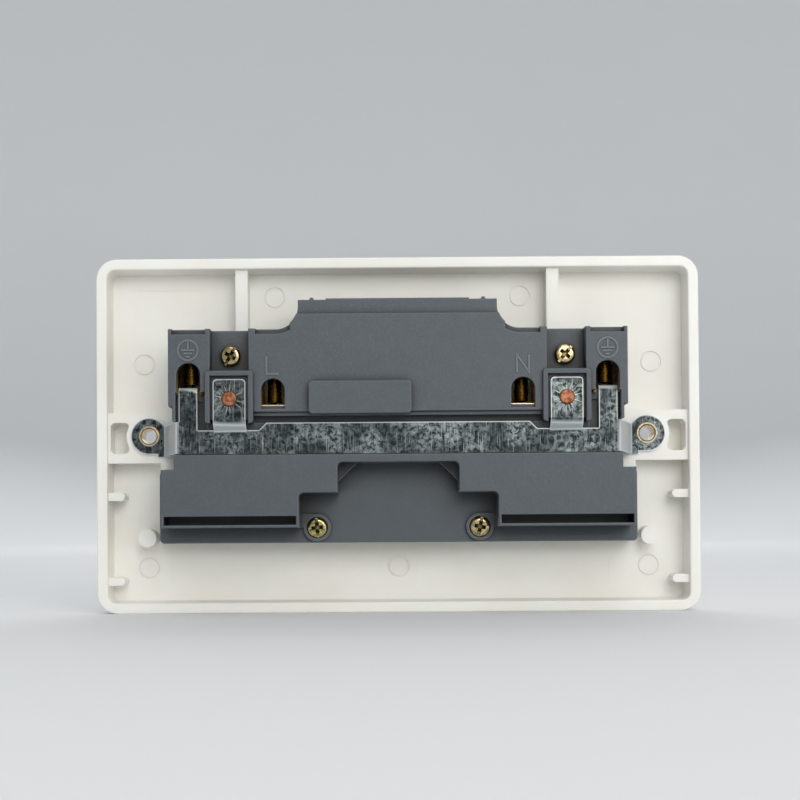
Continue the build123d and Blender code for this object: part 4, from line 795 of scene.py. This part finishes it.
EYELET_BORE = 0.00185
EYELET_LIP_RADIUS = 0.00033
EYELET_SHEET = 0.00012
EYELET_EAR_Y = 0.0004
EYELET_PETALS = 8
STEPS_PER_PETAL = 6
LIP_STEPS = 8
LIP_SMOOTH_ANGLE = 50.0
SPLIT_START = 0.4  # share of the lip's radius past the bore where a split begins

eyelet_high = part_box("fixing_eyelets")[1]
bpy.ops.mesh.primitive_plane_add(size=EYELET_BORE)
eyelet = bpy.context.object
eyelet.name = "eyelet"
bpy.ops.object.mode_set(mode="EDIT")
bpy.ops.mesh.select_mode(type="VERT")
bpy.ops.mesh.merge(type="CENTER")
bpy.ops.transform.translate(value=(EYELET_BORE, eyelet_high[1], 0))
bpy.ops.mesh.extrude_vertices_move(
    TRANSFORM_OT_translate={"value": (0, EYELET_EAR_Y - eyelet_high[1], 0)}
)
bpy.ops.mesh.spin(
    steps=LIP_STEPS,
    angle=math.radians(180),
    center=(EYELET_BORE + EYELET_LIP_RADIUS, EYELET_EAR_Y, 0),
    axis=(0, 0, 1),
)
bpy.ops.mesh.select_all(action="SELECT")
bpy.ops.mesh.spin(
    steps=EYELET_PETALS * STEPS_PER_PETAL,
    angle=math.radians(360),
    center=(0, 0, 0),
    axis=(0, 1, 0),
)
bpy.ops.mesh.select_all(action="SELECT")
bpy.ops.mesh.remove_doubles(threshold=EYELET_SHEET / 20)
bpy.ops.mesh.normals_make_consistent(inside=False)
bpy.ops.mesh.select_mode(type="FACE")
bpy.ops.mesh.select_all(action="DESELECT")
bpy.ops.object.mode_set(mode="OBJECT")
for face in eyelet.data.polygons:
    turns = math.atan2(face.center.z, face.center.x) / math.radians(360)
    step = math.floor(turns * EYELET_PETALS * STEPS_PER_PETAL)
    out = math.hypot(face.center.x, face.center.z)
    on_lip = out > EYELET_BORE + SPLIT_START * EYELET_LIP_RADIUS
    face.select = on_lip and step % STEPS_PER_PETAL == 0
bpy.ops.object.mode_set(mode="EDIT")
bpy.ops.mesh.delete(type="FACE")
bpy.ops.object.mode_set(mode="OBJECT")
sheet = eyelet.modifiers.new("sheet", "SOLIDIFY")
sheet.thickness = EYELET_SHEET
sheet.offset = 0.0
bpy.ops.object.modifier_apply(modifier="sheet")
bpy.ops.object.shade_smooth_by_angle(angle=math.radians(LIP_SMOOTH_ANGLE))
bpy.ops.object.select_all(action="DESELECT")
eyelet_x = eyelet_high[0] - EYELET_BORE - 2 * EYELET_LIP_RADIUS
for side, place_x, turn_by in (("left", -eyelet_x, 10.0), ("right", eyelet_x, 33.0)):
    spot = Matrix.Translation((place_x, 0, 0)) @ Matrix.Rotation(math.radians(turn_by), 4, "Y")
    piece = place_copy(eyelet, "fixing_eyelet_" + side, spot)
    dress(piece, brass)
    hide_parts("fixing_eyelets")
    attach(piece, "case")
bpy.data.objects.remove(eyelet)


# Case screws
# Four steel pan-head screws, zinc plated and passivated, driven from behind into the plate's bosses.
# Each head takes a cross driver or a flat one, and the passivation shows gold, green and pink; its recess
# carries a painted shade.

CASE_SCREW_RADIUS = 0.00145
CASE_SCREW_LENGTH = 0.009
CASE_THREAD_PITCH = 0.0013
CASE_THREAD_DEPTH = 0.0004
CASE_HEAD_RADIUS = 0.0024
CASE_HEAD_HEIGHT = 0.0017
CASE_HEAD_BEVEL = 0.0008
CROSS_LENGTH = 0.0034
CROSS_WIDTH = 0.0011
CROSS_DEPTH = 0.0015
CROSS_TAPER = 0.6
FLAT_SLOT_WIDTH = 0.0007
FLAT_SLOT_DEPTH = 0.0005
UPPER_SCREW_X = 0.0391
UPPER_SCREW_Z = 0.0178
LOWER_SCREW_X = 0.0194
LOWER_SCREW_Z = -0.0224
UPPER_SEAT_Y = -0.011
LOWER_SEAT_Y = -0.0037

PASSIVE_GOLD = "#DCCB8C"
PASSIVE_GREEN = "#55622E"
PASSIVE_PINK = "#D8B49A"
PASSIVE_TINT_MM = 0.9
PASSIVE_DRIFT_MM = 22.0
PASSIVE_PAINTED_SHADE = "#1C2310"
PASSIVE_PAINTED_SHADE_REACH = 0.0012

passive, passive_shader = new_material("passivated_zinc_plate")
place = add_node(passive, "TexCoord").outputs["Object"]
tint = add_node(passive, "TexNoise", {"Vector": place, "Scale": PER_MM / PASSIVE_TINT_MM, "Detail": 3.0})
share = add_node(passive, "MapRange", {"Value": tint.outputs["Fac"], "From Min": 0.35, "From Max": 0.65})
tone = add_node(
    passive,
    "Mix",
    {FACTOR: share.outputs["Result"], FIRST: linear(PASSIVE_GOLD), SECOND: linear(PASSIVE_GREEN)},
    data_type="RGBA",
)
drift = add_node(passive, "TexNoise", {"Vector": place, "Scale": PER_MM / PASSIVE_DRIFT_MM, "Detail": 1.0})
drift_share = add_node(
    passive,
    "MapRange",
    {"Value": drift.outputs["Fac"], "From Min": 0.4, "From Max": 0.7, "To Max": 0.7},
)
drifted = add_node(
    passive,
    "Mix",
    {FACTOR: drift_share.outputs["Result"], FIRST: tone.outputs[RESULT], SECOND: linear(PASSIVE_PINK)},
    data_type="RGBA",
)
# painted shade: the cross recess darkens to dark olive where ambient occlusion finds it
shade_ao = add_node(
    passive, "AmbientOcclusion", {"Distance": PASSIVE_PAINTED_SHADE_REACH}, only_local=True
)
shade_share = add_node(
    passive,
    "MapRange",
    {"Value": shade_ao.outputs["AO"], "From Min": 0.45, "From Max": 0.9, "To Min": 1.0, "To Max": 0.0},
)
shaded = add_node(
    passive,
    "Mix",
    {FACTOR: shade_share.outputs["Result"], FIRST: drifted.outputs[RESULT], SECOND: linear(PASSIVE_PAINTED_SHADE)},
    data_type="RGBA",
)
gloss = add_node(passive, "MapRange", {"Value": tint.outputs["Fac"], "To Min": 0.08, "To Max": 0.24})
finish_shader(
    passive,
    passive_shader,
    {"Base Color": shaded.outputs[RESULT], "Roughness": gloss.outputs["Result"]},
    Metallic=1.0,
)

case_shank = threaded_rod(
    "case_shank", CASE_SCREW_RADIUS, CASE_THREAD_PITCH, CASE_THREAD_DEPTH, CASE_SCREW_LENGTH
)
case_head = round_head("case_head", CASE_HEAD_RADIUS, CASE_HEAD_HEIGHT, CASE_SCREW_LENGTH, CASE_HEAD_BEVEL)
case_top = CASE_SCREW_LENGTH + CASE_HEAD_HEIGHT
cut_slot(case_head, CROSS_LENGTH, CROSS_WIDTH, CROSS_DEPTH, case_top, CROSS_TAPER)
cut_slot(case_head, CROSS_WIDTH, CROSS_LENGTH, CROSS_DEPTH, case_top, CROSS_TAPER)
cut_slot(case_head, SLOT_RUN * CASE_HEAD_RADIUS, FLAT_SLOT_WIDTH, FLAT_SLOT_DEPTH, case_top, 1.0)
case_screw = join_pieces([case_shank, case_head], "case_screw")
for name, x, seat_y, z, turn_by in (
    ("upper_left", -UPPER_SCREW_X, UPPER_SEAT_Y, UPPER_SCREW_Z, 60.0),
    ("upper_right", UPPER_SCREW_X, UPPER_SEAT_Y, UPPER_SCREW_Z, 50.0),
    ("lower_left", -LOWER_SCREW_X, LOWER_SEAT_Y, LOWER_SCREW_Z, 95.0),
    ("lower_right", LOWER_SCREW_X, LOWER_SEAT_Y, LOWER_SCREW_Z, 78.0),
):
    spot = Matrix.Translation((x, seat_y + CASE_SCREW_LENGTH, z))
    spot = spot @ Matrix.Rotation(math.radians(90), 4, "X") @ Matrix.Rotation(math.radians(turn_by), 4, "Z")
    piece = place_copy(case_screw, "case_screw_" + name, spot)
    dress(piece, passive)
    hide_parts("case_screws")
    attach(piece, "case")
bpy.data.objects.remove(case_screw)


# Studio
# A round pale floor that curves up into a wall all about, so every side has the same plain backdrop.
# Soft lamps stand in front of the housing, low at its right, overhead and on the room side.

FLOOR_RADIUS = 1.4
FLOOR_SIDES = 96
COVE_RADIUS = 0.5
COVE_STEPS = 12
WALL_RISE = 1.2
FLOOR_COLOUR = "#F2F3F3"
FLOOR_SHADE = "#EEF0F1"
FLOOR_CLOUD_MM = 300.0

floor_z = cad_box[0][2]
bpy.ops.mesh.primitive_circle_add(
    vertices=FLOOR_SIDES, radius=FLOOR_RADIUS, fill_type="NGON", location=(0, 0, floor_z)
)
floor = bpy.context.object
floor.name = "studio_floor"
bpy.ops.object.transform_apply(location=True)
bpy.ops.object.mode_set(mode="EDIT")
bpy.ops.mesh.select_mode(type="EDGE")
bpy.ops.mesh.select_all(action="SELECT")
reach = FLOOR_RADIUS
height = 0.0
for step in range(1, COVE_STEPS + 2):
    angle = math.radians(90) * min(step, COVE_STEPS) / COVE_STEPS
    next_reach = FLOOR_RADIUS + COVE_RADIUS * math.sin(angle)
    next_height = COVE_RADIUS * (1 - math.cos(angle)) + (WALL_RISE if step > COVE_STEPS else 0)
    bpy.ops.mesh.extrude_edges_move(
        TRANSFORM_OT_translate={"value": (0, 0, next_height - height)}
    )
    grow = next_reach / reach
    bpy.ops.transform.resize(value=(grow, grow, 1), center_override=(0, 0, floor_z + next_height))
    reach = next_reach
    height = next_height
bpy.ops.mesh.select_all(action="SELECT")
bpy.ops.mesh.normals_make_consistent(inside=True)
bpy.ops.object.mode_set(mode="OBJECT")
bpy.ops.object.shade_smooth()

paper, paper_shader = new_material("pale_backdrop_paper")
place = add_node(paper, "TexCoord").outputs["Object"]
cloud = add_node(paper, "TexNoise", {"Vector": place, "Scale": PER_MM / FLOOR_CLOUD_MM, "Detail": 2.0})
tone = add_node(
    paper,
    "Mix",
    {FACTOR: cloud.outputs["Fac"], FIRST: linear(FLOOR_COLOUR), SECOND: linear(FLOOR_SHADE)},
    data_type="RGBA",
)
finish_shader(paper, paper_shader, {"Base Color": tone.outputs[RESULT]}, Roughness=0.9)
floor.data.materials.append(paper)
floor.select_set(False)

# Each lamp: name, place in metres, size across in metres, power in watts, colour
LAMPS = (
    ("main", (0.3, -1.2, 0.5), 0.7, 6.4, "#FFFDF8"),
    ("low_fill", (0.8, -0.8, 0.1), 0.5, 1.6, "#FFFDF8"),
    ("overhead", (0.1, -0.45, 0.9), 0.6, 1.5, "#FFFFFF"),
    ("room_side", (0.0, 1.2, 0.8), 1.3, 6.0, "#FFFFFF"),
)
WORLD_COLOUR = "#F2F5FA"
WORLD_STRENGTH = 0.4

for name, spot, size, power, colour in LAMPS:
    lamp = bpy.data.lights.new(name, "AREA")
    lamp.size = size
    lamp.energy = power
    lamp.color = linear(colour)[:3]
    holder = bpy.data.objects.new(name, lamp)
    holder.location = spot
    holder.rotation_euler = (-Vector(spot)).to_track_quat("-Z", "Y").to_euler()
    bpy.context.scene.collection.objects.link(holder)

world = bpy.data.worlds.new("soft_studio_air")
world.use_nodes = True
air = world.node_tree.nodes["Background"]
air.inputs["Color"].default_value = linear(WORLD_COLOUR)
air.inputs["Strength"].default_value = WORLD_STRENGTH
bpy.context.scene.world = world


# Camera
# A long lens square behind the socket, a little below its middle.
# The picture is shifted up, so the socket stands in it as it does in the photograph.

CAMERA_DISTANCE = 0.350
CAMERA_SIDE = -0.0026
CAMERA_HEIGHT = -0.01714
SOCKET_TURN = (-0.829, -0.40, -0.188)  # degrees about X, Y and Z by which the socket stands off square
FOCAL_PIXELS = 1446.6
PICTURE_PIXELS = 800
AXIS_COLUMN = 387.2
AXIS_ROW = 505.3
SENSOR_MM = 36.0

camera = bpy.data.cameras.new("photo_camera")
camera.sensor_width = SENSOR_MM
camera.lens = SENSOR_MM * FOCAL_PIXELS / PICTURE_PIXELS
camera.shift_x = 0.5 - AXIS_COLUMN / PICTURE_PIXELS
camera.shift_y = AXIS_ROW / PICTURE_PIXELS - 0.5
camera.clip_start = 0.01
stand = bpy.data.objects.new("photo_camera", camera)
turn = Euler([math.radians(a) for a in SOCKET_TURN], "XYZ").to_matrix().to_4x4()
spot = Matrix.Translation((CAMERA_SIDE, -CAMERA_DISTANCE, CAMERA_HEIGHT))
level = Matrix.Rotation(math.radians(90), 4, "X")
stand.matrix_world = turn.inverted() @ spot @ level
bpy.context.scene.collection.objects.link(stand)
bpy.context.scene.camera = stand
bpy.context.scene.view_settings.view_transform = "Standard"
